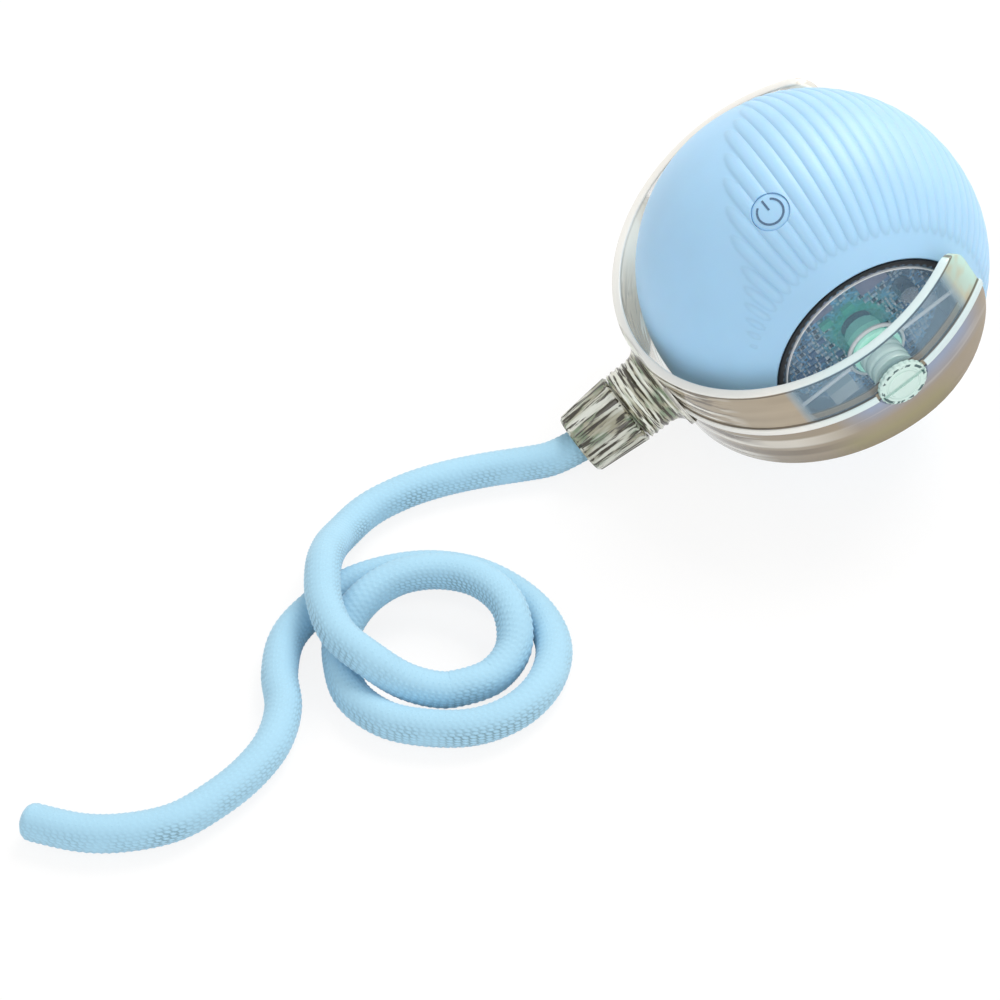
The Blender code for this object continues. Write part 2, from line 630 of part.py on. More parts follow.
def make_shell_screws(parent):
    seat = SHELL_SCREW_SEAT + GAP
    top = seat + SHELL_HEAD_THICK
    outline = [(0, -SHELL_SCREW_BITE), (SHELL_SCREW_R, -SHELL_SCREW_BITE), (SHELL_SCREW_R, seat)]
    outline += [(SHELL_HEAD_R, seat), (SHELL_HEAD_R, top), (0, top)]
    for number, place in enumerate(shell_screw_places(), 1):
        screw = turned(f"shell_screw_{number}", outline, AXLE_FAR, parent, (place,), SMALL_ROUND)
        dress(screw, f"zinc screw {number}", "b9bcc0", 0.35, 1.0)


def make_window(side, axis, hub, parent):
    """A clear disc with a hub for the pivot's bush and a raised bar across its face."""
    outline = [*hub, (HUB_R, WINDOW_BACK), (WINDOW_R, WINDOW_BACK), (WINDOW_R, WINDOW_FACE)]
    outline.append((HUB_BORE_R, WINDOW_FACE))
    window = turned(f"window_{side}", outline, axis, parent, segments=WIDE_ROUND)
    inner, outer = BUSH_FLANGE_R + 2 * GAP, WINDOW_R - BAR_INSET
    sunk = WINDOW_WALL / 2
    for number, way in enumerate((-1, 1), 1):
        centre = Vector((way * (inner + outer) / 2, 0, 0)) + axis * (WINDOW_FACE + (BAR_RISE - sunk) / 2)
        size = (outer - inner, BAR_RISE + sunk, BAR_WIDTH)
        join(window, block(f"bar_{side}_{number}", size, centre, parent))
    dress(window, f"clear window {side}", "c9dde6", 0.08, alpha=0.35)
    return window


def make_windows(parent):
    near_hub = [(HUB_BORE_R, NEAR_HUB_END), (HUB_R, NEAR_HUB_END)]
    make_window("near", AXLE_NEAR, near_hub, parent)
    far_hub = [(HUB_BORE_R, AXLE_POCKET_END), (AXLE_BORE_R, AXLE_POCKET_END)]
    far_hub += [(AXLE_BORE_R, FAR_HUB_END), (HUB_R, FAR_HUB_END)]
    far = make_window("far", AXLE_FAR, far_hub, parent)
    size = (PORT_SIZE[0] + 2 * GAP, WINDOW_WALL + 2 * OVERRUN, PORT_SIZE[2] + 2 * GAP)
    cut(far, block("port_slot", size, (0, (WINDOW_FACE + WINDOW_BACK) / 2, -PORT_DROP), parent))


def make_pivots(parent):
    """At each pole: the bush in the window's hub, the clear pin and the slotted screw that holds it."""
    bush = [(BUSH_BORE_R, NEAR_HUB_END), (BUSH_R, NEAR_HUB_END), (BUSH_R, BUSH_FLANGE_SEAT)]
    bush += [(BUSH_FLANGE_R, BUSH_FLANGE_SEAT), (BUSH_FLANGE_R, BUSH_FACE), (BUSH_BORE_R, BUSH_FACE)]
    bite = PIVOT_FACE - PIVOT_SCREW_BITE
    pin = [(0, SPIGOT_END), (SPIGOT_R, SPIGOT_END), (SPIGOT_R, PIVOT_SHOULDER), (PIVOT_R, PIVOT_SHOULDER)]
    hole_r, hole_end = PIVOT_SCREW_HOLE_R, bite - GAP
    pin += [(PIVOT_R, PIVOT_FACE), (hole_r, PIVOT_FACE), (hole_r, hole_end), (0, hole_end)]
    edge_r, edge = PIVOT_HEAD_R - PIVOT_HEAD_CHAMFER, PIVOT_HEAD_FACE - PIVOT_HEAD_CHAMFER
    screw = [(0, bite), (PIVOT_SCREW_R, bite), (PIVOT_SCREW_R, PIVOT_HEAD_SEAT)]
    screw += [(PIVOT_HEAD_R, PIVOT_HEAD_SEAT), (PIVOT_HEAD_R, edge), (edge_r, PIVOT_HEAD_FACE)]
    screw.append((0, PIVOT_HEAD_FACE))
    for side, axis in (("near", AXLE_NEAR), ("far", AXLE_FAR)):
        ring = turned(f"bush_{side}", bush, axis, parent)
        dress(ring, f"acetal bush {side}", "e8eeee", 0.4)
        clear_pin = turned(f"pivot_pin_{side}", pin, axis, parent)
        dress(clear_pin, f"clear pin {side}", "cfe9e2", 0.08, alpha=0.45)
        head = turned(f"pivot_screw_{side}", screw, axis, parent)
        size = (2 * PIVOT_HEAD_R + OVERRUN, 2 * SLOT_DEPTH, SLOT_WIDTH)
        cut(head, block(f"slot_{side}", size, axis * PIVOT_HEAD_FACE, parent))
        dress(head, f"clear screw {side}", "d9ece8", 0.1, alpha=0.5)


def drawn_in(from_end, length, width):
    """How far a round corner draws the band's edge in, at a distance from the band's end."""
    if from_end >= length:
        return 0.0
    return width * (1 - math.sqrt(1 - (1 - from_end / length) ** 2))


def band_stations():
    """(angle from the neck, lower edge, upper edge) along the band, close together near its ends."""
    quarter = math.pi / 2
    tips = [TIP_CORNER * (1 - math.sin(quarter * i / CORNER_STEPS)) for i in range(CORNER_STEPS + 1)]
    heels = [HEEL_LENGTH * (1 - math.sin(quarter * i / HEEL_STEPS)) for i in range(HEEL_STEPS)]
    reach = math.radians(YOKE_REACH)
    half = YOKE_STEPS // 2
    straight = reach - HEEL_LENGTH / YOKE_R
    one_side = [(straight * i / half, -YOKE_HALF_WIDTH, YOKE_HALF_WIDTH) for i in range(half)]
    for from_end in sorted(tips + heels, reverse=True):
        low = drawn_in(from_end, HEEL_LENGTH, HEEL_WIDTH) - YOKE_HALF_WIDTH
        high = YOKE_HALF_WIDTH - drawn_in(from_end, TIP_CORNER, TIP_CORNER)
        one_side.append((reach - from_end / YOKE_R, low, high))
    return [(-angle, low, high) for angle, low, high in reversed(one_side[1:])] + one_side


def make_band(parent):
    """The C-shaped band about the ball, with its mid rib outside."""
    bm = bmesh.new()
    rings = []
    stations = band_stations()
    rib = YOKE_RIB_WIDTH / 2
    for number, (angle, low, high) in enumerate(stations):
        at_end = number in (0, len(stations) - 1)
        crest = YOKE_R + YOKE_RIB_RISE * (RIB_END_SHARE if at_end else 1)
        section = [(YOKE_INNER_R, low), (YOKE_R, low), (YOKE_R, -rib), (crest, -rib)]
        section += [(crest, rib), (YOKE_R, rib), (YOKE_R, high), (YOKE_INNER_R, high)]
        ring = [bm.verts.new((-r * math.cos(angle), -r * math.sin(angle), z)) for r, z in section]
        rings.append(ring)
    for first, second in zip(rings, rings[1:]):
        for i in range(len(first)):
            j = (i + 1) % len(first)
            bm.faces.new((first[i], first[j], second[j], second[i]))
    bm.faces.new(rings[0])
    bm.faces.new(rings[-1])
    return made("yoke", bm, parent)


def neck_outline():
    """The neck from inside the band out: flared root, rings, and the thin end that the collar covers."""
    root = YOKE_R - YOKE_WALL / 2
    flare_end = YOKE_R + NECK_ROOT_LENGTH
    outline = [(0, root), (NECK_ROOT_R, root)]
    for i in range(ARC_STEPS + 1):
        turn = math.pi / 2 * i / ARC_STEPS
        radius = NECK_ROOT_R - (NECK_ROOT_R - NECK_R) * math.sin(turn)
        outline.append((radius, flare_end - NECK_ROOT_LENGTH * math.cos(turn)))
    pitch = (NECK_END - flare_end) / RING_COUNT
    flank = pitch * RING_FLANK_SHARE
    for i in range(RING_COUNT):
        start = flare_end + pitch * i
        low = NECK_R - RING_DEPTH
        outline += [(low, start + flank), (low, start + pitch / 2 - flank), (NECK_R, start + pitch / 2)]
        outline.append((NECK_R, start + pitch - flank / 2))
    outline += [(NECK_R, NECK_END), (NECK_TUBE_R, NECK_END), (NECK_TUBE_R, NECK_TUBE_END)]
    outline += [(NECK_BORE_R, NECK_TUBE_END), (NECK_BORE_R, NECK_BORE_END), (0, NECK_BORE_END)]
    return outline


def make_yoke(parent):
    yoke = make_band(parent)
    join(yoke, turned("neck", neck_outline(), NECK, parent, segments=ROUND))
    for side, axis in (("near", AXLE_NEAR), ("far", AXLE_FAR)):
        join(yoke, rod(f"pad_{side}", PAD_R, PAD_FACE, YOKE_R - YOKE_WALL / 2, axis, parent))
        cut(yoke, rod(f"spotface_{side}", SPOTFACE_R, SPOTFACE, YOKE_R + OVERRUN, axis, parent))
        reach = (PAD_FACE - OVERRUN, YOKE_R + OVERRUN)
        cut(yoke, rod(f"screw_hole_{side}", PIVOT_SCREW_HOLE_R, *reach, axis, parent, segments=SMALL_ROUND))
    dress(yoke, "clear yoke", "cfc9b8", 0.05, alpha=0.35)


def make_ferrule(parent):
    """A barbed plug that anchors the rope's end in the neck."""
    barb_r = ROPE_R - FERRULE_BARB
    waist = FERRULE_START + FERRULE_NECK_LENGTH
    outline = [(0, FERRULE_START), (barb_r, FERRULE_START), (ROPE_R, waist), (barb_r, waist)]
    outline += [(barb_r, waist + FERRULE_NECK_LENGTH), (ROPE_R, waist + FERRULE_NECK_LENGTH)]
    outline += [(ROPE_R, FERRULE_END), (0, FERRULE_END)]
    ferrule = turned("rope_ferrule", outline, NECK, parent, segments=SMALL_ROUND)
    dress(ferrule, "crimped brass", "c9a75c", 0.35, 1.0)


def make_collar(parent):
    """The tapered ring that clamps the rope: knurled outside, bored for the neck's end and the rope."""
    bm = bmesh.new()
    columns = 2 * KNURL_COUNT
    slope = (COLLAR_TIP_R - COLLAR_R) / (COLLAR_END - COLLAR_START)
    stops = [COLLAR_START, COLLAR_START + COLLAR_CHAMFER, COLLAR_END - COLLAR_CHAMFER, COLLAR_END]
    rings = []
    for stop in stops:
        crest = COLLAR_R + slope * (stop - COLLAR_START)
        if stop == COLLAR_START:
            crest -= COLLAR_CHAMFER / 2
        depth = 0 if stop in (stops[0], stops[-1]) else KNURL_DEPTH
        ring = []
        for column in range(columns):
            turn = math.tau * column / columns
            radius = crest - depth * (column % 2)
            ring.append(bm.verts.new((-stop, radius * math.sin(turn), radius * math.cos(turn))))
        rings.append(ring)
    for first, second in zip(rings, rings[1:]):
        for i in range(columns):
            j = (i + 1) % columns
            bm.faces.new((first[i], first[j], second[j], second[i]))
    bm.faces.new(rings[0])
    bm.faces.new(rings[-1])
    collar = made("clamp_collar", bm, parent)
    cut(collar, rod("collar_bore", COLLAR_BORE_R, COLLAR_START - OVERRUN, COLLAR_STEP, NECK, parent))
    cut(collar, rod("rope_hole", NECK_BORE_R, COLLAR_START, COLLAR_END + OVERRUN, NECK, parent))
    dress(collar, "clear collar", "c4c8b4", 0.1, alpha=0.45)


def catmull(points, samples):
    """Evenly numbered points of the smooth curve through these ones."""
    ends = [2 * points[0] - points[1], *points, 2 * points[-1] - points[-2]]
    spans = len(points) - 1
    curve = []
    for sample in range(samples):
        place = spans * sample / (samples - 1)
        span = min(int(place), spans - 1)
        t = place - span
        before, start, end, after = ends[span : span + 4]
        pull = (end - before) * t + (2 * before - 5 * start + 4 * end - after) * t * t
        pull += (3 * start - before - 3 * end + after) * t * t * t
        curve.append(start + pull / 2)
    return curve


def even_points(curve, count):
    """Points at equal steps along a curve, with its length."""
    travelled = [0.0]
    for first, second in zip(curve, curve[1:]):
        travelled.append(travelled[-1] + (second - first).length)
    points, span = [], 0
    for number in range(count):
        goal = travelled[-1] * number / (count - 1)
        while span < len(curve) - 2 and travelled[span + 1] < goal:
            span += 1
        share = (goal - travelled[span]) / (travelled[span + 1] - travelled[span])
        points.append(curve[span].lerp(curve[span + 1], share))
    return points, travelled[-1]


def least_gap(points, length):
    """The least space between two strands of the rope."""
    step = length / (len(points) - 1)
    apart = int(ROPE_DIAMETER * ROPE_APART_SHARE / step)
    nearest = min(
        (points[i] - points[j]).length for i in range(len(points)) for j in range(i + apart, len(points))
    )
    return nearest - ROPE_DIAMETER


def rope_points():
    """The rope's middle line: straight out of the neck and the collar, then down and along its route."""
    neck = Vector((-math.cos(TILT), 0, -math.sin(TILT)))
    inside = [CENTRE + neck * along for along in (ROPE_START, (ROPE_START + COLLAR_END) / 2, COLLAR_END)]
    under_ball = Vector((CENTRE.x, CENTRE.y, 0))
    route = [under_ball + Vector(point) * MM for point in ROPE_ROUTE]
    return inside + route


def make_rope():
    fine, _ = even_points(catmull(rope_points(), ROPE_SAMPLE_COUNT), ROPE_SAMPLE_COUNT)
    points, length = even_points(fine, ROPE_POINT_COUNT)
    floor = ROPE_R + ROPE_LIE
    for point in points:
        point.z = max(point.z, floor)
    gap = least_gap(even_points(fine, ROPE_SAMPLE_COUNT // 2)[0], length)
    print(f"rope: {length / MM:.1f} mm long, least gap to itself {gap / MM:.2f} mm")
    curve = bpy.data.curves.new("rope", "CURVE")
    curve.dimensions = "3D"
    curve.bevel_depth = ROPE_R
    curve.bevel_resolution = 2
    curve.use_fill_caps = True
    spline = curve.splines.new("POLY")
    spline.points.add(len(points) - 1)
    for knot, point in zip(spline.points, points):
        knot.co = (*point, 1)
    rope = bpy.data.objects.new("rope", curve)
    bpy.context.scene.collection.objects.link(rope)
    dress(rope, "knitted rope", "a8d4ec", 0.85)


def make_button(parent):
    """The cap with its stem, the tact switch under it and the switch's small round board."""
    axis = on_ball(BUTTON_LATITUDE, BUTTON_LONGITUDE)
    under = BUTTON_TOP - BUTTON_THICK
    rim = BUTTON_TOP - BUTTON_DOME
    outline = [(0, BUTTON_STEM_END), (BUTTON_STEM_R, BUTTON_STEM_END), (BUTTON_STEM_R, under)]
    outline += [(BUTTON_R, under), (BUTTON_R, rim), (BUTTON_R / 2, BUTTON_TOP - BUTTON_DOME / 4)]
    outline.append((0, BUTTON_TOP))
    button = turned("power_button", outline, axis, parent)
    dress(button, "silicone button", "a9d3ec", 0.55)
    turn = towards(axis)
    middle = (SWITCH_BASE + SWITCH_TOP) / 2
    size = (SWITCH_SIDE, SWITCH_SIDE, SWITCH_HEIGHT)
    switch = block("tact_switch", size, (0, 0, middle), parent, turn)
    join(switch, rod("switch_plunger", PLUNGER_R, middle, PLUNGER_END, axis, parent, segments=SMALL_ROUND))
    dress(switch, "black switch", "24262a", 0.5)
    board = rod("switch_board", SWITCH_CUP_OUTER_R, SWITCH_BOARD_BACK, SWITCH_BOARD_FACE, axis, parent)
    dress(board, "switch board laminate", "20465a", 0.45)


def on_post_circle(angles):
    """Places near the main board's rim, by their angles in degrees."""
    turns = [math.radians(angle) for angle in angles]
    return [(POST_CIRCLE_R * math.cos(turn), 0, POST_CIRCLE_R * math.sin(turn)) for turn in turns]


def lobe(distance, radius):
    """Points across a round lobe on the chassis plate, the lobe on the real axis and the plate at zero."""
    if distance > CHASSIS_R:
        half = math.pi / 2
        foot = math.sqrt(CHASSIS_R**2 - radius**2)
        points = [complex(foot, -radius)]
    else:
        half = math.acos((CHASSIS_R**2 - distance**2 - radius**2) / (2 * distance * radius))
        points = []
    turns = [half * (2 * i / LOBE_STEPS - 1) for i in range(LOBE_STEPS + 1)]
    points += [distance + radius * complex(math.cos(turn), math.sin(turn)) for turn in turns]
    if distance > CHASSIS_R:
        points.append(complex(foot, radius))
    return points


def chassis_outline():
    """A round plate with a lobe for each shell screw and one for the motor."""
    screw_turn = math.tau / SHELL_SCREW_COUNT
    lobes = [(math.pi / 2 + screw_turn * i, SCREW_CIRCLE_R, EAR_WIDTH / 2) for i in range(SHELL_SCREW_COUNT)]
    lobes.append((math.pi * 3 / 2, SHAFT_DISTANCE, MOTOR_R + GAP + CRADLE_WALL))
    outline = []
    for turn, distance, radius in sorted(lobes):
        direction = complex(math.cos(turn), math.sin(turn))
        across = [point * direction for point in lobe(distance, radius)]
        if outline:
            outline += plate_arc(outline[-1], across[0])
        outline += across
    outline += plate_arc(outline[-1], outline[0])
    return [(point.real, point.imag) for point in outline]


def plate_arc(start, end):
    """Points on the chassis plate's rim between two lobes."""
    first = cmath.phase(start)
    span = (cmath.phase(end) - first) % math.tau
    return [cmath.rect(CHASSIS_R, first + span * i / RIM_STEPS) for i in range(1, RIM_STEPS)]


def make_chassis(parent):
    """The plate clamped between the shell's halves, with the motor's cradle and the main board's posts."""
    near, far = CHASSIS_NEAR, CHASSIS_FAR
    middle = (near + far) / 2
    chassis = plate("chassis", chassis_outline(), near, far, parent)
    motor_spot = ((0, 0, -SHAFT_DISTANCE),)
    cradle_r = MOTOR_R + GAP
    outer_r = cradle_r + CRADLE_WALL - GAP
    cradle = tube("cradle", cradle_r, outer_r, -CRADLE_LENGTH, middle, AXLE_FAR, parent, motor_spot)
    mouth_size = (CRADLE_MOUTH, CRADLE_LENGTH + near, 2 * outer_r)
    mouth_centre = (0, (near - CRADLE_LENGTH) / 2 - GAP, outer_r - SHAFT_DISTANCE)
    cut(cradle, block("cradle_mouth", mouth_size, mouth_centre, parent))
    join(chassis, cradle)
    stands = on_post_circle(POST_ANGLES + PEG_ANGLES)
    join(chassis, rod("posts", POST_R, -POST_END, middle, AXLE_FAR, parent, stands, SMALL_ROUND))
    reach = (near - OVERRUN, far + OVERRUN)
    cut(chassis, rod("axle_bush_hole", AXLE_BUSH_R + GAP, *reach, AXLE_FAR, parent))
    shaft_hole_r = MOTOR_SHAFT_R + RUNNING_GAP
    cut(chassis, rod("shaft_hole", shaft_hole_r, *reach, AXLE_FAR, parent, motor_spot, SMALL_ROUND))
    places = shell_screw_places()
    cut(chassis, rod("ear_holes", SHELL_SCREW_HOLE_R, *reach, AXLE_FAR, parent, places, SMALL_ROUND))
    bite = (BOARD_BACK - BOARD_SCREW_BITE - GAP, BOARD_FACE)
    posts = on_post_circle(POST_ANGLES)
    cut(chassis, rod("post_holes", BOARD_SCREW_HOLE_R, *bite, AXLE_NEAR, parent, posts, SMALL_ROUND))
    dress(chassis, "chassis plastic", "dfe3e4", 0.5)


def gear_outline(teeth, phase):
    """Straight-sided teeth on a wheel: phase is a share of one tooth's pitch."""
    pitch_r = GEAR_MODULE * teeth / 2
    tip_r, root_r = pitch_r + GEAR_MODULE * ADDENDUM_SHARE, pitch_r - GEAR_MODULE * DEDENDUM_SHARE
    pitch = math.tau / teeth
    corners = [(-TOOTH_ROOT_SHARE, root_r), (-TOOTH_TIP_SHARE, tip_r)]
    corners += [(TOOTH_TIP_SHARE, tip_r), (TOOTH_ROOT_SHARE, root_r)]
    points = []
    for tooth in range(teeth):
        for share, radius in corners:
            turn = pitch * (tooth + phase + share / 2)
            points.append((radius * math.cos(turn), radius * math.sin(turn)))
    return points


def make_drive(parent, pinion_frame):
    """The eccentric weight with its gear on the axle, and the motor with the pinion that turns them."""
    # One gap of the wheel's teeth faces the pinion, below the axle, and one tooth of the pinion stands in it
    wheel_phase = (0.5 - GEAR_TOOTH_COUNT * 0.75) % 1
    pinion_phase = (-PINION_TOOTH_COUNT * 0.75) % 1
    gear = plate("drive_gear", gear_outline(GEAR_TOOTH_COUNT, wheel_phase), GEAR_START, GEAR_END, parent)
    through = (-BALL_R, BALL_R)
    cut(gear, rod("gear_bore", AXLE_BORE_R, *through, AXLE_FAR, parent, segments=SMALL_ROUND))
    dress(gear, "gear nylon", "e6dfc8", 0.5)

    turns = [math.pi * (1 + i / ROUND) for i in range(ROUND + 1)]
    half = [(WEIGHT_R * math.cos(turn), WEIGHT_R * math.sin(turn)) for turn in turns]
    weight = plate("eccentric_weight", half, WEIGHT_START, WEIGHT_END, parent)
    join(weight, rod("weight_hub", WEIGHT_HUB_R, WEIGHT_START, FAR_HUB_END - GAP, AXLE_FAR, parent))
    cut(weight, rod("weight_bore", AXLE_BORE_R, *through, AXLE_FAR, parent, segments=SMALL_ROUND))
    dress(weight, "cast zinc", "8c9094", 0.5, 1.0)

    axle = rod("weight_axle", AXLE_R, AXLE_NEAR_END, AXLE_FAR_END, AXLE_FAR, parent, segments=SMALL_ROUND)
    dress(axle, "steel axle", "c4c7ca", 0.25, 1.0)
    span = (AXLE_CLIP_FACE - AXLE_CLIP_THICK, AXLE_CLIP_FACE)
    clip = tube("axle_clip", AXLE_BORE_R, AXLE_CLIP_R, *span, AXLE_FAR, parent, segments=SMALL_ROUND)
    dress(clip, "spring steel clip", "7f8387", 0.35, 1.0)

    reach = (MOTOR_FACE - MOTOR_SHAFT_BITE, GEAR_END)
    shaft = rod("motor_shaft", MOTOR_SHAFT_R, *reach, AXLE_FAR, pinion_frame, segments=SMALL_ROUND)
    dress(shaft, "ground steel shaft", "d0d2d4", 0.2, 1.0)
    teeth = gear_outline(PINION_TOOTH_COUNT, pinion_phase)
    pinion = plate("motor_pinion", teeth, GEAR_START, GEAR_END, pinion_frame)
    bore_r = MOTOR_SHAFT_R + RUNNING_GAP
    cut(pinion, rod("pinion_bore", bore_r, *through, AXLE_FAR, pinion_frame, segments=SMALL_ROUND))
    dress(pinion, "pinion brass", "d1b266", 0.3, 1.0)


def make_inner_fixed(parent):
    """What is fixed to the chassis: motor, battery, the axle's bush, and the main board with its screws."""
    spot = ((0, 0, -SHAFT_DISTANCE),)
    motor = rod("motor", MOTOR_R, MOTOR_BACK, MOTOR_FACE, AXLE_FAR, parent, spot)
    for number, way in enumerate((-1, 1), 1):
        centre = (way * TERMINAL_OFFSET, MOTOR_BACK - TERMINAL_LENGTH / 2 + GAP, -SHAFT_DISTANCE)
        size = (TERMINAL_WIDTH, TERMINAL_LENGTH + GAP, TERMINAL_HEIGHT)
        join(motor, block(f"terminal_{number}", size, centre, parent))
    bore_r = MOTOR_SHAFT_R + RUNNING_GAP
    bore_end = MOTOR_FACE - MOTOR_SHAFT_BITE - GAP
    cut(motor, rod("motor_bore", bore_r, bore_end, MOTOR_FACE + OVERRUN, AXLE_FAR, parent, spot, SMALL_ROUND))
    dress(motor, "motor can", "a9adb1", 0.3, 1.0)

    centre = (0, (MOTOR_FACE + BATTERY_BACK) / 2, (BATTERY_BASE + BATTERY_TOP) / 2)
    battery = block("battery", BATTERY_SIZE, centre, parent)
    dress(battery, "battery wrap", "5b6f8c", 0.35)

    near = -AXLE_BUSH_REACH
    far = CHASSIS_FAR + GAP
    bush = tube("axle_bush", AXLE_BORE_R, AXLE_BUSH_R, near, far, AXLE_FAR, parent, segments=SMALL_ROUND)
    dress(bush, "bronze bush", "b98a4a", 0.4, 1.0)

    span = (BOARD_BACK, BOARD_FACE)
    board = tube("main_board", BOARD_HOLE_R, BOARD_R, *span, AXLE_NEAR, parent, segments=WIDE_ROUND)
    seat, low = PART_SEAT, BOARD_BACK - BOARD_SCREW_BITE
    top = seat + BOARD_HEAD_THICK
    outline = [(0, low), (BOARD_SCREW_R, low), (BOARD_SCREW_R, seat)]
    outline += [(BOARD_HEAD_R, seat), (BOARD_HEAD_R, top), (0, top)]
    posts = on_post_circle(POST_ANGLES)
    cut(board, rod("board_holes", BOARD_SCREW_HOLE_R, low, top, AXLE_NEAR, parent, posts, SMALL_ROUND))
    for number, place in enumerate(posts, 1):
        screw = turned(f"board_screw_{number}", outline, AXLE_NEAR, parent, (place,), SMALL_ROUND)
        dress(screw, f"steel board screw {number}", "c9ccd0", 0.3, 1.0)
    dress(board, "main board laminate", "1d3550", 0.4)


def board_part(name, size, shares, parent):
    """A part that sits on the main board, placed across it in the tilted frame."""
    centre = (shares[0] * BOARD_R, -PART_SEAT - size[1] / 2, shares[1] * BOARD_R)
    return block(name, size, centre, parent)


def make_board_parts(parent):
    controller = board_part("controller_chip", CONTROLLER_SIZE, CONTROLLER_SHARES, parent)
    dress(controller, "controller package", "6f6a82", 0.45)
    driver = board_part("driver_chip", DRIVER_SIZE, DRIVER_SHARES, parent)
    dress(driver, "driver package", "262b38", 0.45)
    connector = board_part("battery_connector", CONNECTOR_SIZE, CONNECTOR_SHARES, parent)
    dress(connector, "connector nylon", "dfe4e6", 0.5)
    for number, shares in enumerate(LIGHT_SHARES, 1):
        light = board_part(f"status_light_{number}", LIGHT_SIZE, shares, parent)
        dress(light, f"light lens {number}", "8ff0d8", 0.2)
    spot = (CAPACITOR_SHARES[0] * BOARD_R, 0, CAPACITOR_SHARES[1] * BOARD_R)
    top = PART_SEAT + CAPACITOR_HEIGHT
    capacitor = rod("capacitor", CAPACITOR_R, PART_SEAT, top, AXLE_NEAR, parent, (spot,), SMALL_ROUND)
    dress(capacitor, "capacitor can", "b4b8bd", 0.3, 1.0)


def make_charge_port(parent):
    """The charging socket behind its slot in the far window, on a small board of its own."""
    centre = Vector((0, (PORT_FACE + PORT_BACK) / 2, -PORT_DROP))
    port = block("charge_port", PORT_SIZE, centre, parent)
    mouth = (PORT_SIZE[0] - 2 * PORT_WALL, PORT_MOUTH_DEPTH + OVERRUN, PORT_SIZE[2] - 2 * PORT_WALL)
    mouth_centre = (0, PORT_FACE + (OVERRUN - PORT_MOUTH_DEPTH) / 2, -PORT_DROP)
    cut(port, block("port_mouth", mouth, mouth_centre, parent))
    dress(port, "steel socket", "b7bbbf", 0.3, 1.0)
    far = WINDOW_BACK - GAP
    board_centre_y = far - PORT_BOARD_SIZE[1] / 2
    board_centre_z = -PORT_DROP - PORT_SIZE[2] / 2 - GAP - PORT_BOARD_SIZE[2] / 2
    board = block("charge_board", PORT_BOARD_SIZE, (0, board_centre_y, board_centre_z), parent)
    dress(board, "charge board laminate", "1f4a3a", 0.45)


def main():
    clear_scene()
    tilted = frame("tilted_frame", TILT)
    upright = frame("upright_frame", 0)
    pinion_frame = frame("pinion_frame", 0)
    pinion_frame.location = CENTRE - Vector((0, 0, SHAFT_DISTANCE))
    make_sleeve(tilted)
    make_core(tilted, upright)
    make_shell_screws(upright)
    make_windows(tilted)
    make_pivots(tilted)
    make_yoke(tilted)
    make_ferrule(tilted)
    make_collar(tilted)
    make_rope()
    make_button(tilted)
    make_chassis(upright)
    make_drive(upright, pinion_frame)
    make_inner_fixed(upright)
    make_board_parts(tilted)
    make_charge_port(tilted)


main()
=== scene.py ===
"""The looks of a self rolling cat ball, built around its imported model.

Metres, +Z up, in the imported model's frame. The ball rolls about the world Y axis and its near pole faces -Y.
A tilted frame at the ball's centre has its X pointing away from the neck, its Y along the axle and its Z
square to the yoke.
"""

import json
import math
import random
from functools import partial

import bmesh
import bpy
from bpy.props import FloatProperty, FloatVectorProperty, IntProperty, PointerProperty
from mathutils import Matrix, Vector


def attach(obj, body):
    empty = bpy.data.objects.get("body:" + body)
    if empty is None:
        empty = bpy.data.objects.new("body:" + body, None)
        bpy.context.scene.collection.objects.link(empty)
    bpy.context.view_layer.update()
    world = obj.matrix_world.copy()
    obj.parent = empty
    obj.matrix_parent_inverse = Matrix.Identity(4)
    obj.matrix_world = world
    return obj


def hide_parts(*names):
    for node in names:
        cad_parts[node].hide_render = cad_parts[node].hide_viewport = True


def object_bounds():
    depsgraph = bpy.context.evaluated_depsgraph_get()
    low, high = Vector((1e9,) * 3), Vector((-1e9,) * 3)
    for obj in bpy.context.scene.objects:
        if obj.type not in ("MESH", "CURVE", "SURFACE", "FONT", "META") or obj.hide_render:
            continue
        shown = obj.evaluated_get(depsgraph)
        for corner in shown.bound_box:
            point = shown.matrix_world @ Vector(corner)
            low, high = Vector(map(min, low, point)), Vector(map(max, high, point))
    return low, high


bl_info = {
    "name": "Self Rolling Cat Ball",
    "version": (1, 0, 0),
    "blender": (4, 5, 0),
    "location": "View3D > Sidebar > Cat Ball",
    "description": "Builds the ball's sleeve, clear yoke, rope and inner pieces around its packed model",
    "category": "Object",
}

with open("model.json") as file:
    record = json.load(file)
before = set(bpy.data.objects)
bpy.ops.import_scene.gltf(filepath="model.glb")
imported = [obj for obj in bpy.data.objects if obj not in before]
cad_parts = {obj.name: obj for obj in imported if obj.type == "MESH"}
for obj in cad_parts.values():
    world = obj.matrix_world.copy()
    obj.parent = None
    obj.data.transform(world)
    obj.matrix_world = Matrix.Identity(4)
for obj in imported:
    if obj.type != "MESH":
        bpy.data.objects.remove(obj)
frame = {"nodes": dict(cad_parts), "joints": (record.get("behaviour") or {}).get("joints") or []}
CAD_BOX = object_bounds()
JOINTS = {joint["name"]: joint for joint in frame["joints"]}

MM = 0.001
WELD = 0.0005 * MM

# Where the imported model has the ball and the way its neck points
CENTRE = Vector(JOINTS["ball_spin"]["pos_m"])
NECK = Vector(JOINTS["collar_turn"]["axis"]).normalized()
TILT = math.atan2(-NECK.z, -NECK.x)
TILTED = Matrix.Translation(CENTRE) @ Matrix.Rotation(-TILT, 4, "Y")
AXLE_NEAR = Vector((0, -1, 0))
AXLE_FAR = Vector((0, 1, 0))
TO_NECK = Vector((-1, 0, 0))

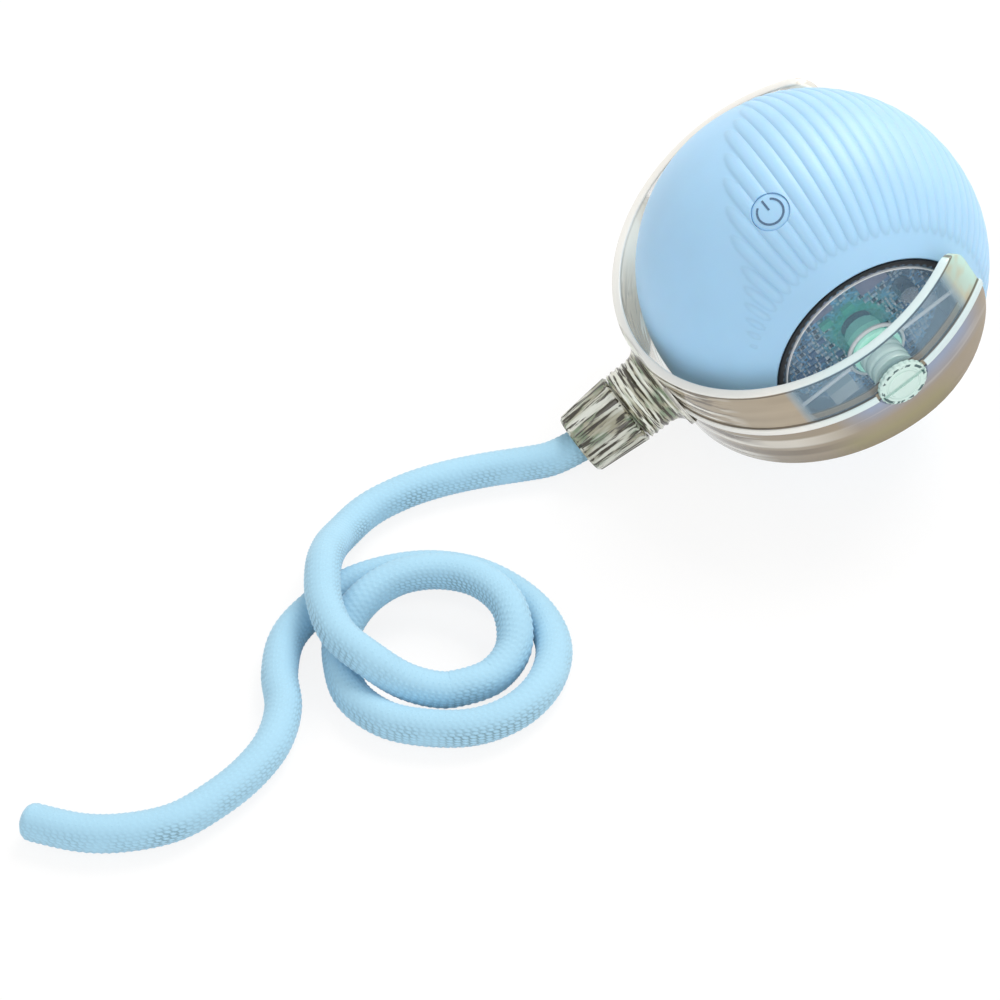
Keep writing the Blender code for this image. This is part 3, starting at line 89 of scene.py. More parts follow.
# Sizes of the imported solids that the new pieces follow
GAP = 0.3 * MM
BALL_R = 30.0 * MM
SLEEVE_WALL = 1.6 * MM
SLEEVE_HOLE_R = 18.2 * MM
BUTTON_LATITUDE = 20.8
BUTTON_LONGITUDE = 0.2
BUTTON_R = 3.2 * MM
BUTTON_TOP = 30.15 * MM
BUTTON_HEIGHT = 4.6 * MM
BUTTON_THICK = 1.15 * MM
BUTTON_STEM_R = 1.9 * MM
WINDOW_FACE = 23.4 * MM
WINDOW_BACK = 21.9 * MM
WINDOW_R = 17.9 * MM
HUB_R = 4.7 * MM
HUB_BORE_R = 3.5 * MM
NEAR_HUB_END = 18.6 * MM
FAR_HUB_END = 15.7 * MM
AXLE_BORE_R = 1.8 * MM
PORT_DROP = 8.5 * MM
PORT_SLOT = (9.5 * MM, 4.0 * MM, 3.8 * MM)
BOARD_FACE = 17.0 * MM
BOARD_R = 15.2 * MM
PIN_R = 3.7 * MM
PIN_SHOULDER = 24.7 * MM
PIN_FACE = 30.3 * MM
SPIGOT_R = 1.9 * MM
SPIGOT_END = 19.0 * MM
PIN_SCREW_R = 1.3 * MM
PIN_SCREW_BITE = 26.8 * MM
PIN_HEAD_R = 4.4 * MM
PIN_HEAD_SEAT = 32.4 * MM
PIN_HEAD_FACE = 33.3 * MM
SLOT_SIZE = (10.0 * MM, 0.9 * MM, 0.9 * MM)
YOKE_INNER_R = 31.0 * MM
YOKE_R = 32.6 * MM
YOKE_HALF_WIDTH = 11.2 * MM
YOKE_REACH = math.radians(128)
TIP_CORNER = 4.0 * MM
HEEL_LENGTH = 22.0 * MM
HEEL_WIDTH = 10.2 * MM
YOKE_RIB_WIDTH = 1.5 * MM
YOKE_RIB_RISE = 0.5 * MM
PAD_R = 5.6 * MM
PAD_FACE = 30.6 * MM
SPOTFACE_R = 4.9 * MM
SPOTFACE = 32.1 * MM
SCREW_HOLE_R = 1.6 * MM
NECK_R = 6.7 * MM
NECK_ROOT_R = 9.2 * MM
NECK_ROOT_END = 34.8 * MM
NECK_END = 39.4 * MM
NECK_TUBE_R = 5.1 * MM
NECK_TUBE_END = 46.0 * MM
NECK_BORE_R = 3.3 * MM
NECK_BORE_END = 36.2 * MM
COLLAR_START = 39.7 * MM
COLLAR_END = 50.3 * MM
COLLAR_STEP = 46.3 * MM
COLLAR_BORE_R = 5.4 * MM
COLLAR_TIP_R = 5.8 * MM
KNURL_COUNT = 16
ROPE_R = 3.0 * MM
ROPE_START = 44.5 * MM

# Sizes of what only this file has
PROUD = 0.03 * MM
BAR_START = 5.3 * MM
BAR_END = 16.4 * MM
BAR_SIZE = 0.6 * MM
BUSH_RING_R = 4.75 * MM
BUSH_RING_OUTER_R = 5.35 * MM
RIM_RING_R = 16.35 * MM
RIM_RING_OUTER_R = 16.62 * MM
SEAL_R = 17.15 * MM
SEAL_OUTER_R = 18.05 * MM
SEAL_STEPS = 216
SEAL_TOOTH = 0.38 * MM
BUTTON_CROWN = 0.45 * MM
ICON_GAP = 34
ROUND_RIB = 0.25 * MM
BAND_END = 0.25 * MM
NECK_RING_DEPTH = 0.3 * MM
NECK_RINGS = 4
KNURL_DEPTH = 0.4 * MM
PIN_GROOVES = (26.2 * MM, 28.2 * MM)
PIN_GROOVE = 0.25 * MM
HEAD_RING_R = 3.2 * MM
HEAD_RING_INNER_R = 2.7 * MM
HEAD_STEPS = 96
HEAD_NOTCH = 0.965
RIB_STEPS = 8
BALL_RINGS = 170
ROUTE_SAMPLES = 900
STITCH_RINGS = 4
FLOOR_SIZE = 3.0
FLOOR_DROP = 0.05 * MM
SHARP = math.radians(35)

# Where the ribs stop: latitude towards the near pole, and longitude from the top towards the neck
RIB_COUNT = 72
RIB_END_LATITUDE = 44
RIB_BORDER = ((-45, -22), (-26, -13), (-20, -5), (-9, 0), (0, 5.3), (9, 10.2), (17, 15), (24.5, 18), (31, 25),
              (36, 33), (39.6, 41.6), (43.9, 50.6))
# How many of a rib's half widths its end towards the pole and its end towards the neck take to rise
TIP_HALVES = 1.8
FADE_HALVES = 4.5
# Ribs shorter than this many degrees are thinner too, by up to this share
SHORT_RIB = 16
SHORT_THIN = 0.9

# The rope's route in millimetres: X and Y from the spot under the ball's centre, and the height of its middle
ROPE_ROUTE = (
    (-48.6, 0.3, 3.5), (-53.5, 1.4, 3.06), (-61, 2.9, 3.02), (-68.5, 3.7, 3.02), (-75.5, 3.4, 3.02),
    (-82.5, 1.6, 3.1), (-88.4, -2.6, 4.1), (-92.7, -8.2, 7.3), (-96, -14.5, 9.7), (-98.4, -21.6, 9.9),
    (-98.8, -29, 9.6), (-96, -35.4, 8.6), (-91.2, -39.6, 5.2), (-85, -42.1, 3.05), (-78, -42.3, 3.05),
    (-72.5, -39, 4.4), (-70.6, -33, 7.2), (-72.6, -26.3, 8), (-77.7, -21.1, 7.6), (-84.5, -19, 7.1),
    (-91.2, -20, 5.6), (-96.4, -23.5, 3.3), (-99, -30, 3.02), (-99.7, -37.1, 3.02), (-96.6, -43.9, 3.02),
    (-90.7, -48.5, 3.02), (-83.9, -51.1, 3.02), (-76.6, -50.5, 3.02), (-70.3, -46.8, 3.02),
    (-66.1, -40.7, 3.02), (-65.3, -33.3, 3.02), (-67.4, -26, 3.02), (-71.5, -19.8, 3.02),
    (-77.5, -15.5, 3.02), (-84.6, -13.6, 3.02), (-92, -13.8, 3.02), (-99, -16.4, 3.02),
    (-105, -20.8, 3.02), (-108.8, -27.6, 3.02), (-110.8, -34.9, 3.02), (-114.7, -41, 3.02),
    (-120.4, -45.5, 3.02), (-127, -48.5, 3.02), (-134, -50.2, 3.02), (-141.3, -49.2, 3.02),
    (-148, -46.3, 3.02), (-155.6, -40.1, 3.02),
)

# Camera
CAMERA_OFFSET = Vector((-0.1916, -0.3351, 0.3178))
CAMERA_HEADING = 21.65
CAMERA_PITCH = 44.19
CAMERA_ROLL = -1.77


def linear(colour):
    """An sRGB hex value as the linear red, green and blue that shaders read."""
    shares = [int(colour[i : i + 2], 16) / 255 for i in (0, 2, 4)]
    return tuple(s / 12.92 if s <= 0.04045 else ((s + 0.055) / 1.055) ** 2.4 for s in shares)


def hue(name, description, colour):
    return FloatVectorProperty(name=name, description=description, default=linear(colour), subtype="COLOR",
                               size=3, min=0, max=1)


def length(name, description, size):
    return FloatProperty(name=name, description=description, default=size * MM, min=0, unit="LENGTH",
                         subtype="DISTANCE", precision=5)


class CatBallStage(bpy.types.PropertyGroup):
    lens: FloatProperty(name="Lens", description="Focal length on a 36 mm sensor", default=104.05, min=1)
    key_power: FloatProperty(name="Key lamp", description="Power of the lamp above", default=6.2, min=0,
                             unit="POWER")
    key_colour: hue("Key colour", "Colour of the lamp above", "fff7f0")
    fill_power: FloatProperty(name="Fill lamp", description="Power of the lamp at the left", default=1.4, min=0,
                              unit="POWER")
    room: FloatProperty(name="Room light", description="Strength of the light from all round", default=0.55,
                        min=0)


class CatBallRope(bpy.types.PropertyGroup):
    colour: hue("Yarn", "Colour of the knitted yarn", "aad6ed")
    stitch: length("Stitch", "Length of one knitted stitch along the rope", 1.07)
    relief: length("Knit relief", "How far the stitches stand out", 0.16)
    columns: IntProperty(name="Columns", description="Columns of stitches round the rope", default=16, min=4)
    end: length("Sealed end", "Length of the free end's rounding", 2.2)


class CatBallSleeve(bpy.types.PropertyGroup):
    colour: hue("Silicone", "Colour of the sleeve and the button", "a4d1f1")
    rib_rise: length("Rib height", "How far the ribs stand out of the sleeve", 0.28)
    lip: length("Lip", "Rounding of the sleeve's edges", 0.3)
    icon_colour: hue("Icon", "Colour of the printed power icon", "47617c")
    icon_radius: length("Icon radius", "Radius of the power icon's ring", 2.2)
    icon_line: length("Icon line", "Width of the power icon's lines", 0.36)


class CatBallClear(bpy.types.PropertyGroup):
    yoke: hue("Yoke", "Tint of the yoke's plastic", "f4f3ec")
    # The yoke away from the windows is drawn opaque in this colour, as painted reflection and shade of the clear
    # plastic
    shade: hue("Yoke in shade", "Tint of the yoke away from the windows", "b0a18a")
    window: hue("Window", "Tint of the windows", "a9cbe6")
    pin: hue("Pin", "Tint of the pivot pins and their screws", "e0faf3")
    edge: length("Edge", "Rounding of the clear pieces' edges", 0.3)


class CatBallInside(bpy.types.PropertyGroup):
    board: hue("Board", "Colour of the circuit board's lacquer", "4a88b8")
    glow: hue("Glow", "Colour of the status lights", "37b596")
    glow_strength: FloatProperty(name="Glow strength", description="Light from the status lights", default=0.18,
                                 min=0)
    part_pitch: length("Part pitch", "Distance between the rows of small parts on the board", 1.35)


def add_node(tree, kind, *values, out=None, **named):
    """Adds a shader node and gives one of its outputs: the first in use, unless out names another.

    Values fill the node's inputs in use, from the first one on. A named value with a capital fills the input of
    that name, and one without is a setting. An input takes a number, a colour or the output that feeds it.
    """
    node = tree.nodes.new("ShaderNode" + kind)
    for name, value in named.items():
        if name[0].islower():
            setattr(node, name, value)
    filled = list(zip([socket for socket in node.inputs if socket.enabled], values))
    filled += [(node.inputs[name], value) for name, value in named.items() if name[0].isupper()]
    for socket, value in filled:
        if isinstance(value, bpy.types.NodeSocket):
            tree.links.new(value, socket)
        else:
            socket.default_value = (*value, 1) if socket.type == "RGBA" else value
    return node.outputs[out] if out else next(socket for socket in node.outputs if socket.enabled)


def feed(node, name, output):
    """Links an output to this input."""
    node.id_data.links.new(output, node.inputs[name])


def finish(name, colour, values):
    """A new material in this linear colour, the function that adds its nodes, and its shader."""
    material = bpy.data.materials.get(name)
    if material is not None:
        bpy.data.materials.remove(material)
    material = bpy.data.materials.new(name)
    material.use_nodes = True
    shader = material.node_tree.nodes["Principled BSDF"]
    shader.inputs["Base Color"].default_value = (*colour, 1)
    for socket, value in values.items():
        shader.inputs[socket].default_value = value
    return material, partial(add_node, material.node_tree), shader


def tilted_place(add):
    """Coordinates in the tilted frame, in millimetres."""
    return add("Mapping", add("TexCoord", out="Object"), CENTRE, (0, -TILT, 0), (MM, MM, MM), vector_type="TEXTURE")


def between(add, value, low, high, soft):
    """1 where the value is between two others, with soft ends."""
    return add("Math", add("MapRange", value, low - soft, low), add("MapRange", value, high + soft, high),
               operation="MULTIPLY")


def distance_from_line(add, place, across):
    """How far the place is from a line through the origin, square to the axes that are 1 here."""
    return add("VectorMath", add("VectorMath", place, across, operation="MULTIPLY"), operation="LENGTH")


def seen_ray(add):
    """1 where the camera looks, directly, through clear plastic or in a reflection."""
    share = add("LightPath", out="Is Camera Ray")
    for ray in ("Is Transmission Ray", "Is Glossy Ray"):
        share = add("Math", share, add("LightPath", out=ray), operation="MAXIMUM")
    return share


def varied(add, shader, place, colour, other, size, low=0.3, high=0.7):
    """The base colour wanders between two linear colours in patches of this size."""
    share = add("MapRange", add("TexNoise", place, 1 / size), low, high)
    feed(shader, "Base Color", add("Mix", share, colour, other, data_type="RGBA"))


def scaled(colour, share):
    return tuple(channel * share for channel in colour)


def moulded(name, colour, roughness, texture, depth):
    """Moulded plastic: a spark-eroded mould leaves a fine even grain, and the gloss wanders a little."""
    material, add, shader = finish(name, colour, {"Roughness": roughness, "IOR": 1.5})
    place = add("TexCoord", out="Object")
    varied(add, shader, place, scaled(colour, 0.92), scaled(colour, 1.06), 4 * MM)
    uneven = add("MapRange", add("TexNoise", place, 1 / (2 * MM)), 0.3, 0.7, roughness - 0.05, roughness + 0.07)
    feed(shader, "Roughness", uneven)
    feed(shader, "Normal", add("Bump", Height=add("TexNoise", place, 1 / texture), Distance=depth))
    return material


def metal(name, colour, roughness, direction, line):
    """Turned or drawn metal: fine tool lines one way, and gloss that changes across them."""
    material, add, shader = finish(name, colour, {"Roughness": roughness, "Metallic": 1.0})
    place = add("TexCoord", out="Object")
    stretched = add("Mapping", place, Scale=direction)
    lines = add("TexNoise", stretched, 1 / line)
    feed(shader, "Roughness", add("MapRange", lines, 0.3, 0.7, roughness - 0.08, roughness + 0.12))
    varied(add, shader, place, scaled(colour, 0.85), colour, 1.5 * MM)
    feed(shader, "Normal", add("Bump", Height=lines, Distance=0.01 * MM))
    return material


def clear(name, tint, edge, roughness, ior, alpha=1.0, through=1.0):
    """Polished clear plastic: colourless where it is looked through, with painted shade that darkens it where it is
    looked along.
    """
    values = {"Roughness": roughness, "IOR": ior, "Transmission Weight": through, "Alpha": alpha}
    material, add, shader = finish(name, tint, values)
    facing = add("LayerWeight", 0.35, out="Facing")
    share = add("MapRange", facing, 0.25, 0.95)
    feed(shader, "Base Color", add("Mix", share, tint, edge, data_type="RGBA"))
    return material, add, shader


def solid(bm):
    """Doubles merged and faces pointing outwards."""
    bmesh.ops.remove_doubles(bm, verts=bm.verts, dist=WELD)
    bmesh.ops.dissolve_degenerate(bm, edges=bm.edges, dist=WELD)
    bmesh.ops.recalc_face_normals(bm, faces=bm.faces)


def made(name, bm, material):
    """The bmesh as a smooth-shaded object with its material, not yet on a body."""
    old = bpy.data.objects.get(name)
    if old is not None:
        bpy.data.objects.remove(old)
    mesh = bpy.data.meshes.new(name)
    bm.to_mesh(mesh)
    bm.free()
    mesh.shade_smooth()
    mesh.set_sharp_from_angle(angle=SHARP)
    mesh.materials.append(material)
    piece = bpy.data.objects.new(name, mesh)
    bpy.context.scene.collection.objects.link(piece)
    return piece


def carried(piece, body, slot, *nodes):
    """The finished piece rides on its body and stands for these nodes, which it hides. The slot is not used."""
    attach(piece, body)
    if nodes:
        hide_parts(*nodes)
    return piece


def towards(axis):
    """The turn that takes +Z to this axis."""
    return Vector((0, 0, 1)).rotation_difference(Vector(axis)).to_matrix().to_4x4()


def on_ball(latitude, longitude):
    """A direction in the tilted frame: degrees towards the near pole, and from the top towards the neck."""
    lat, lon = math.radians(latitude), math.radians(longitude)
    return Vector((-math.cos(lat) * math.sin(lon), -math.sin(lat), math.cos(lat) * math.cos(lon)))


def lathe(bm, outline, placing, steps=72, bevel=0.0):
    """A closed outline of (radius, distance along) points, turned about the placing's Z."""
    fresh = bmesh.new()
    points = [fresh.verts.new((radius, 0, along)) for radius, along in outline]
    pairs = list(zip(points, points[1:] + points[:1]))
    edges = [fresh.edges.new(pair) for pair in pairs if pair[0].co.x > 0 or pair[1].co.x > 0]
    bmesh.ops.spin(fresh, geom=points + edges, cent=(0, 0, 0), axis=(0, 0, 1), angle=math.tau, steps=steps,
                   use_merge=True)
    solid(fresh)
    if bevel:
        soften(fresh, bevel)
    bmesh.ops.transform(fresh, matrix=placing, verts=fresh.verts)
    absorb(bm, fresh)


def soften(bm, width, segments=2):
    """Rounds the edges that turn sharply."""
    sharp = [edge for edge in bm.edges if edge.is_manifold and edge.calc_face_angle() > SHARP]
    bmesh.ops.bevel(bm, geom=sharp, offset=width, offset_type="OFFSET", segments=segments, profile=0.5,
                    affect="EDGES", clamp_overlap=True, material=-1)


def absorb(bm, other):
    """Adds another bmesh to this one."""
    mesh = bpy.data.meshes.new("join")
    other.to_mesh(mesh)
    other.free()
    bm.from_mesh(mesh)
    bpy.data.meshes.remove(mesh)


def brick(bm, size, centre, placing=None, bevel=0.0):
    """A box with rounded edges."""
    fresh = bmesh.new()
    bmesh.ops.create_cube(fresh, size=1.0)
    bmesh.ops.scale(fresh, vec=size, verts=fresh.verts)
    if bevel:
        soften(fresh, bevel, segments=1)
    bmesh.ops.translate(fresh, vec=centre, verts=fresh.verts)
    if placing is not None:
        bmesh.ops.transform(fresh, matrix=placing, verts=fresh.verts)
    absorb(bm, fresh)


def combine(piece, operation, cutter):
    """Joins a closed bmesh to the piece, or cuts it away."""
    mesh = bpy.data.meshes.new("cutter")
    cutter.to_mesh(mesh)
    cutter.free()
    other = bpy.data.objects.new("cutter", mesh)
    bpy.context.scene.collection.objects.link(other)
    modifier = piece.modifiers.new("combine", "BOOLEAN")
    modifier.operation = operation
    modifier.solver = "EXACT"
    modifier.object = other
    result = bpy.data.meshes.new_from_object(piece.evaluated_get(bpy.context.evaluated_depsgraph_get()))
    piece.modifiers.clear()
    old, piece.data = piece.data, result
    result.name = piece.name
    bpy.data.meshes.remove(old)
    bpy.data.objects.remove(other)
    bpy.data.meshes.remove(mesh)
    result.shade_smooth()
    result.set_sharp_from_angle(angle=SHARP)


class CATBALL_OT_stage(bpy.types.Operator):
    """Set the camera, the floor, the lamps and the white surroundings"""

    bl_idname = "cat_ball.stage"
    bl_label = "Stage"
    bl_options = {"REGISTER", "UNDO"}

    def execute(self, context):
        stage = context.scene.cat_ball_stage
        context.scene.view_settings.view_transform = "Standard"
        camera = bpy.data.objects.new("photo_camera", bpy.data.cameras.new("photo_camera"))
        context.scene.collection.objects.link(camera)
        camera.data.lens = stage.lens
        camera.data.sensor_width = 36
        camera.data.clip_start = 0.01
        turn = Matrix.Rotation(math.radians(-CAMERA_HEADING), 4, "Z")
        turn = turn @ Matrix.Rotation(math.radians(90 - CAMERA_PITCH), 4, "X")
        turn = turn @ Matrix.Rotation(math.radians(CAMERA_ROLL), 4, "Z")
        camera.matrix_world = Matrix.Translation(CENTRE + CAMERA_OFFSET) @ turn
        context.scene.camera = camera
        self.make_floor()
        self.light_room(context, stage)
        lamps = (
            ("key_lamp", stage.key_power, stage.key_colour, (0.4, 0.3, 0.75), 0.5),
            ("fill_lamp", stage.fill_power, (1, 1, 1), (-0.7, -0.35, 0.5), 0.6),
            ("front_lamp", stage.fill_power, (1, 1, 1), (0.15, -0.8, 0.45), 0.6),
        )
        for name, power, colour, spot, size in lamps:
            lamp = bpy.data.lights.new(name, "AREA")
            lamp.energy = power
            lamp.color = colour
            lamp.size = size
            held = bpy.data.objects.new(name, lamp)
            context.scene.collection.objects.link(held)
            aim = (CENTRE - Vector(spot)).to_track_quat("-Z", "Y").to_matrix().to_4x4()
            held.matrix_world = Matrix.Translation(spot) @ aim
        return {"FINISHED"}

    def make_floor(self):
        """A white sweep of painted board: matt, and white where the camera looks at it."""
        material, add, shader = finish("painted white floor", linear("f4f4f4"), {"Roughness": 0.9})
        glow = add("Emission", (1, 1, 1), 1.02)
        lift = add("Math", seen_ray(add), 0.84, operation="MULTIPLY")
        both = add("MixShader", lift, shader.outputs[0], glow)
        feed(material.node_tree.nodes["Material Output"], "Surface", both)
        bm = bmesh.new()
        bmesh.ops.create_grid(bm, x_segments=1, y_segments=1, size=FLOOR_SIZE)
        bmesh.ops.translate(bm, vec=(0, 0, CAD_BOX[0].z - FLOOR_DROP), verts=bm.verts)
        made("floor", bm, material)

    def light_room(self, context, stage):
        """Even light from all round, white where the camera or a reflection sees it."""
        world = bpy.data.worlds.new("white_room")
        world.use_nodes = True
        background = world.node_tree.nodes["Background"]
        add = partial(add_node, world.node_tree)
        strength = add("MapRange", seen_ray(add), 0, 1, stage.room, 1.0)
        feed(background, "Strength", strength)
        background.inputs["Color"].default_value = (1, 1, 1, 1)
        context.scene.world = world


def catmull(points, samples):
    """Evenly numbered points of the smooth curve through these ones."""
    ends = [2 * points[0] - points[1], *points, 2 * points[-1] - points[-2]]
    spans = len(points) - 1
    curve = []
    for sample in range(samples):
        place = spans * sample / (samples - 1)
        span = min(int(place), spans - 1)
        t = place - span
        before, start, end, after = ends[span : span + 4]
        pull = (end - before) * t + (2 * before - 5 * start + 4 * end - after) * t * t
        pull += (3 * start - before - 3 * end + after) * t * t * t
        curve.append(start + pull / 2)
    return curve


def even_points(curve, count):
    """Points at equal steps along a curve, with its length."""
    travelled = [0.0]
    for first, second in zip(curve, curve[1:]):
        travelled.append(travelled[-1] + (second - first).length)
    points, span = [], 0
    for number in range(count):
        goal = travelled[-1] * number / (count - 1)
        while span < len(curve) - 2 and travelled[span + 1] < goal:
            span += 1
        share = (goal - travelled[span]) / (travelled[span + 1] - travelled[span])
        points.append(curve[span].lerp(curve[span + 1], share))
    return points, travelled[-1]


class CATBALL_OT_rope(bpy.types.Operator):
    """Knit the rope along its route from the neck to its sealed end"""

    bl_idname = "cat_ball.rope"
    bl_label = "Rope"
    bl_options = {"REGISTER", "UNDO"}

    def execute(self, context):
        rope = context.scene.cat_ball_rope
        inside = [CENTRE + NECK * along for along in (ROPE_START, (ROPE_START + COLLAR_END) / 2, COLLAR_END)]
        under_ball = Vector((CENTRE.x, CENTRE.y, 0))
        route = inside + [under_ball + Vector(point) * MM for point in ROPE_ROUTE]
        fine = even_points(catmull(route, ROUTE_SAMPLES), ROUTE_SAMPLES)[0]
        lowest = ROPE_R + rope.relief * 0.45
        fine = [Vector((point.x, point.y, max(point.z, lowest))) for point in fine]
        whole = sum((second - first).length for first, second in zip(fine, fine[1:]))
        stitches = round(whole / rope.stitch)
        rings = STITCH_RINGS * stitches
        path, whole = even_points(fine, rings + 1)
        frames = self.follow(path)
        bm = bmesh.new()
        depth = bm.verts.layers.float.new("knit")
        bm.loops.layers.uv.new("along_rope")
        around = 4 * rope.columns
        bmesh.ops.create_grid(bm, x_segments=around, y_segments=rings, size=0.5, calc_uvs=True)
        for corner in bm.verts:
            share, turn = corner.co.y + 0.5, corner.co.x + 0.5
            number = round(share * rings)
            stand = self.stitch_height(turn * rope.columns, number / STITCH_RINGS)
            radius = ROPE_R - rope.relief * (0.6 - stand)
            to_end = (rings - number) / rings * whole
            if to_end < rope.end:
                radius *= math.sqrt(max(0.0, 1 - (1 - to_end / rope.end) ** 2.6))
            if number == 0:
                radius = 0
            side, up = frames[number]
            angle = math.tau * turn
            corner[depth] = stand
            corner.co = path[max(number, 1)] + (side * math.cos(angle) + up * math.sin(angle)) * radius
        solid(bm)
        piece = made("knitted_rope", bm, self.yarn(rope))
        piece.data.shade_smooth()
        carried(piece, "tether", "knitted_rope", "rope")
        return {"FINISHED"}

    def follow(self, path):
        """For each point of the path, two directions across it that turn as little as possible."""
        frames = []
        side = Vector((0, 1, 0))
        for number in range(len(path)):
            ahead = path[min(number + 1, len(path) - 1)] - path[max(number - 1, 0)]
            ahead.normalize()
            side = (side - ahead * side.dot(ahead)).normalized()
            frames.append((side, ahead.cross(side)))
        return frames

    def stitch_height(self, column, row):
        """Each stitch has two slanted legs that meet in a V, and each column starts a third of a stitch later.

        1 is a leg's crest and 0 a groove.
        """
        across = column % 1 - 0.5
        leg = abs(math.sin(math.tau * across))
        later = math.floor(column) / 3
        return (0.2 + 0.8 * leg) * (0.5 + 0.5 * math.cos(math.tau * (row + later + 1.1 * abs(across))))

    def yarn(self, rope):
        """Polyester yarn, knitted: matt and a little fuzzy, with painted shade as small darker dashes between the
        stitches.
        """
        colour = tuple(rope.colour)
        values = {"Roughness": 0.85, "Sheen Weight": 0.25, "Sheen Roughness": 0.4, "Specular IOR Level": 0.25}
        material, add, shader = finish("knitted polyester yarn", colour, values)
        place = add("TexCoord", out="Object")
        stand = add("Attribute", attribute_name="knit", out="Fac")
        patches = add("MapRange", add("TexNoise", place, 1 / (9 * MM)), 0.35, 0.65, 0.15, 1.0)
        # Painted shade: the stitches' grooves are darker on the flanks, in patches, and plain on the top
        upward = add("SeparateXYZ", add("NewGeometry", out="Normal"), out="Z")
        flank_shade = add("MapRange", upward, 0.85, 0.3, 0.12, 1.0)
        shaded = add("Math", patches, flank_shade, operation="MULTIPLY")
        groove = add("Math", add("MapRange", stand, 0.4, 0.02), shaded, operation="MULTIPLY")
        dashes = add("Mix", groove, colour, scaled(colour, 0.52), data_type="RGBA")
        feed(shader, "Base Color", dashes)
        # Single fibres are about 0.02 mm, too fine to show, so the fuzz is drawn at 0.25 mm
        fuzz = add("TexNoise", place, 1 / (0.25 * MM))
        feed(shader, "Normal", add("Bump", Height=fuzz, Distance=0.06 * MM, Strength=0.5))
        return material


def rib_start(longitude):
    """The latitude where the rib at this longitude from the top begins, or nothing where there is none."""
    from_neck = abs((longitude - 90 + 180) % 360 - 180)
    place = 90 - from_neck
    if place <= RIB_BORDER[0][1]:
        return -RIB_END_LATITUDE
    for (low, first), (high, second) in zip(RIB_BORDER, RIB_BORDER[1:]):
        if place <= second:
            return low + (high - low) * (place - first) / (second - first)
    return 90.0


def rib_height(direction):
    """From 0 to 1: a round rib with rounded tips, by the direction from the ball's centre."""
    latitude = math.degrees(math.asin(max(-1.0, min(1.0, -direction.y))))
    longitude = math.degrees(math.atan2(-direction.x, direction.z))
    pitch = 360 / RIB_COUNT
    number = round(longitude / pitch)
    start = rib_start(number * pitch)
    thin = 1 + SHORT_THIN * max(0.0, 1 - max(0.0, RIB_END_LATITUDE - start) / SHORT_RIB)
    across = (longitude - number * pitch) / (pitch / 2) * thin
    half = math.pi * math.cos(math.radians(latitude)) / RIB_COUNT / thin
    pole_end = math.radians(RIB_END_LATITUDE - latitude) / half / TIP_HALVES
    neck_end = math.radians(latitude - start) / half / FADE_HALVES
    past = max(0.0, 1 - pole_end, 1 - neck_end)
    return max(0.0, 1 - across * across - past * past) ** 0.8 if past < 1 else 0.0


def silicone(settings, name, depth):
    """Moulded silicone rubber: soft satin, lets a little light in, with painted shade at the foot of its ribs."""
    colour = tuple(settings.colour)
    values = {"Roughness": 0.5, "IOR": 1.41, "Subsurface Weight": 0.12, "Subsurface Scale": 1.5 * MM,
              "Sheen Weight": 0.05, "Sheen Roughness": 0.5, "Specular IOR Level": 0.8}
    material, add, shader = finish(name, colour, values)
    place = add("TexCoord", out="Object")
    from_centre = add("VectorMath", place, CENTRE, operation="DISTANCE")
    valley_shade = add("MapRange", from_centre, BALL_R + depth * 0.9, BALL_R + depth * 0.2)
    patches = add("MapRange", add("TexNoise", place, 1 / (12 * MM)), 0.3, 0.7)
    plain = add("Mix", patches, scaled(colour, 0.97), scaled(colour, 1.03), data_type="RGBA")
    if depth:
        # Painted shade: darker at the foot of each rib
        on_rib = add("MapRange", from_centre, BALL_R, BALL_R + 0.07 * MM)
        share = add("Math", add("Math", valley_shade, on_rib, operation="MULTIPLY"), 0.3, operation="MULTIPLY")
        plain = add("Mix", share, plain, scaled(colour, 0.72), data_type="RGBA")
    feed(shader, "Base Color", plain)
    # The mould's matt grain is about 0.1 mm and is drawn at 0.5 mm
    grain = add("TexNoise", place, 1 / (0.5 * MM))
    feed(shader, "Normal", add("Bump", Height=grain, Distance=0.02 * MM, Strength=0.5))
    return material


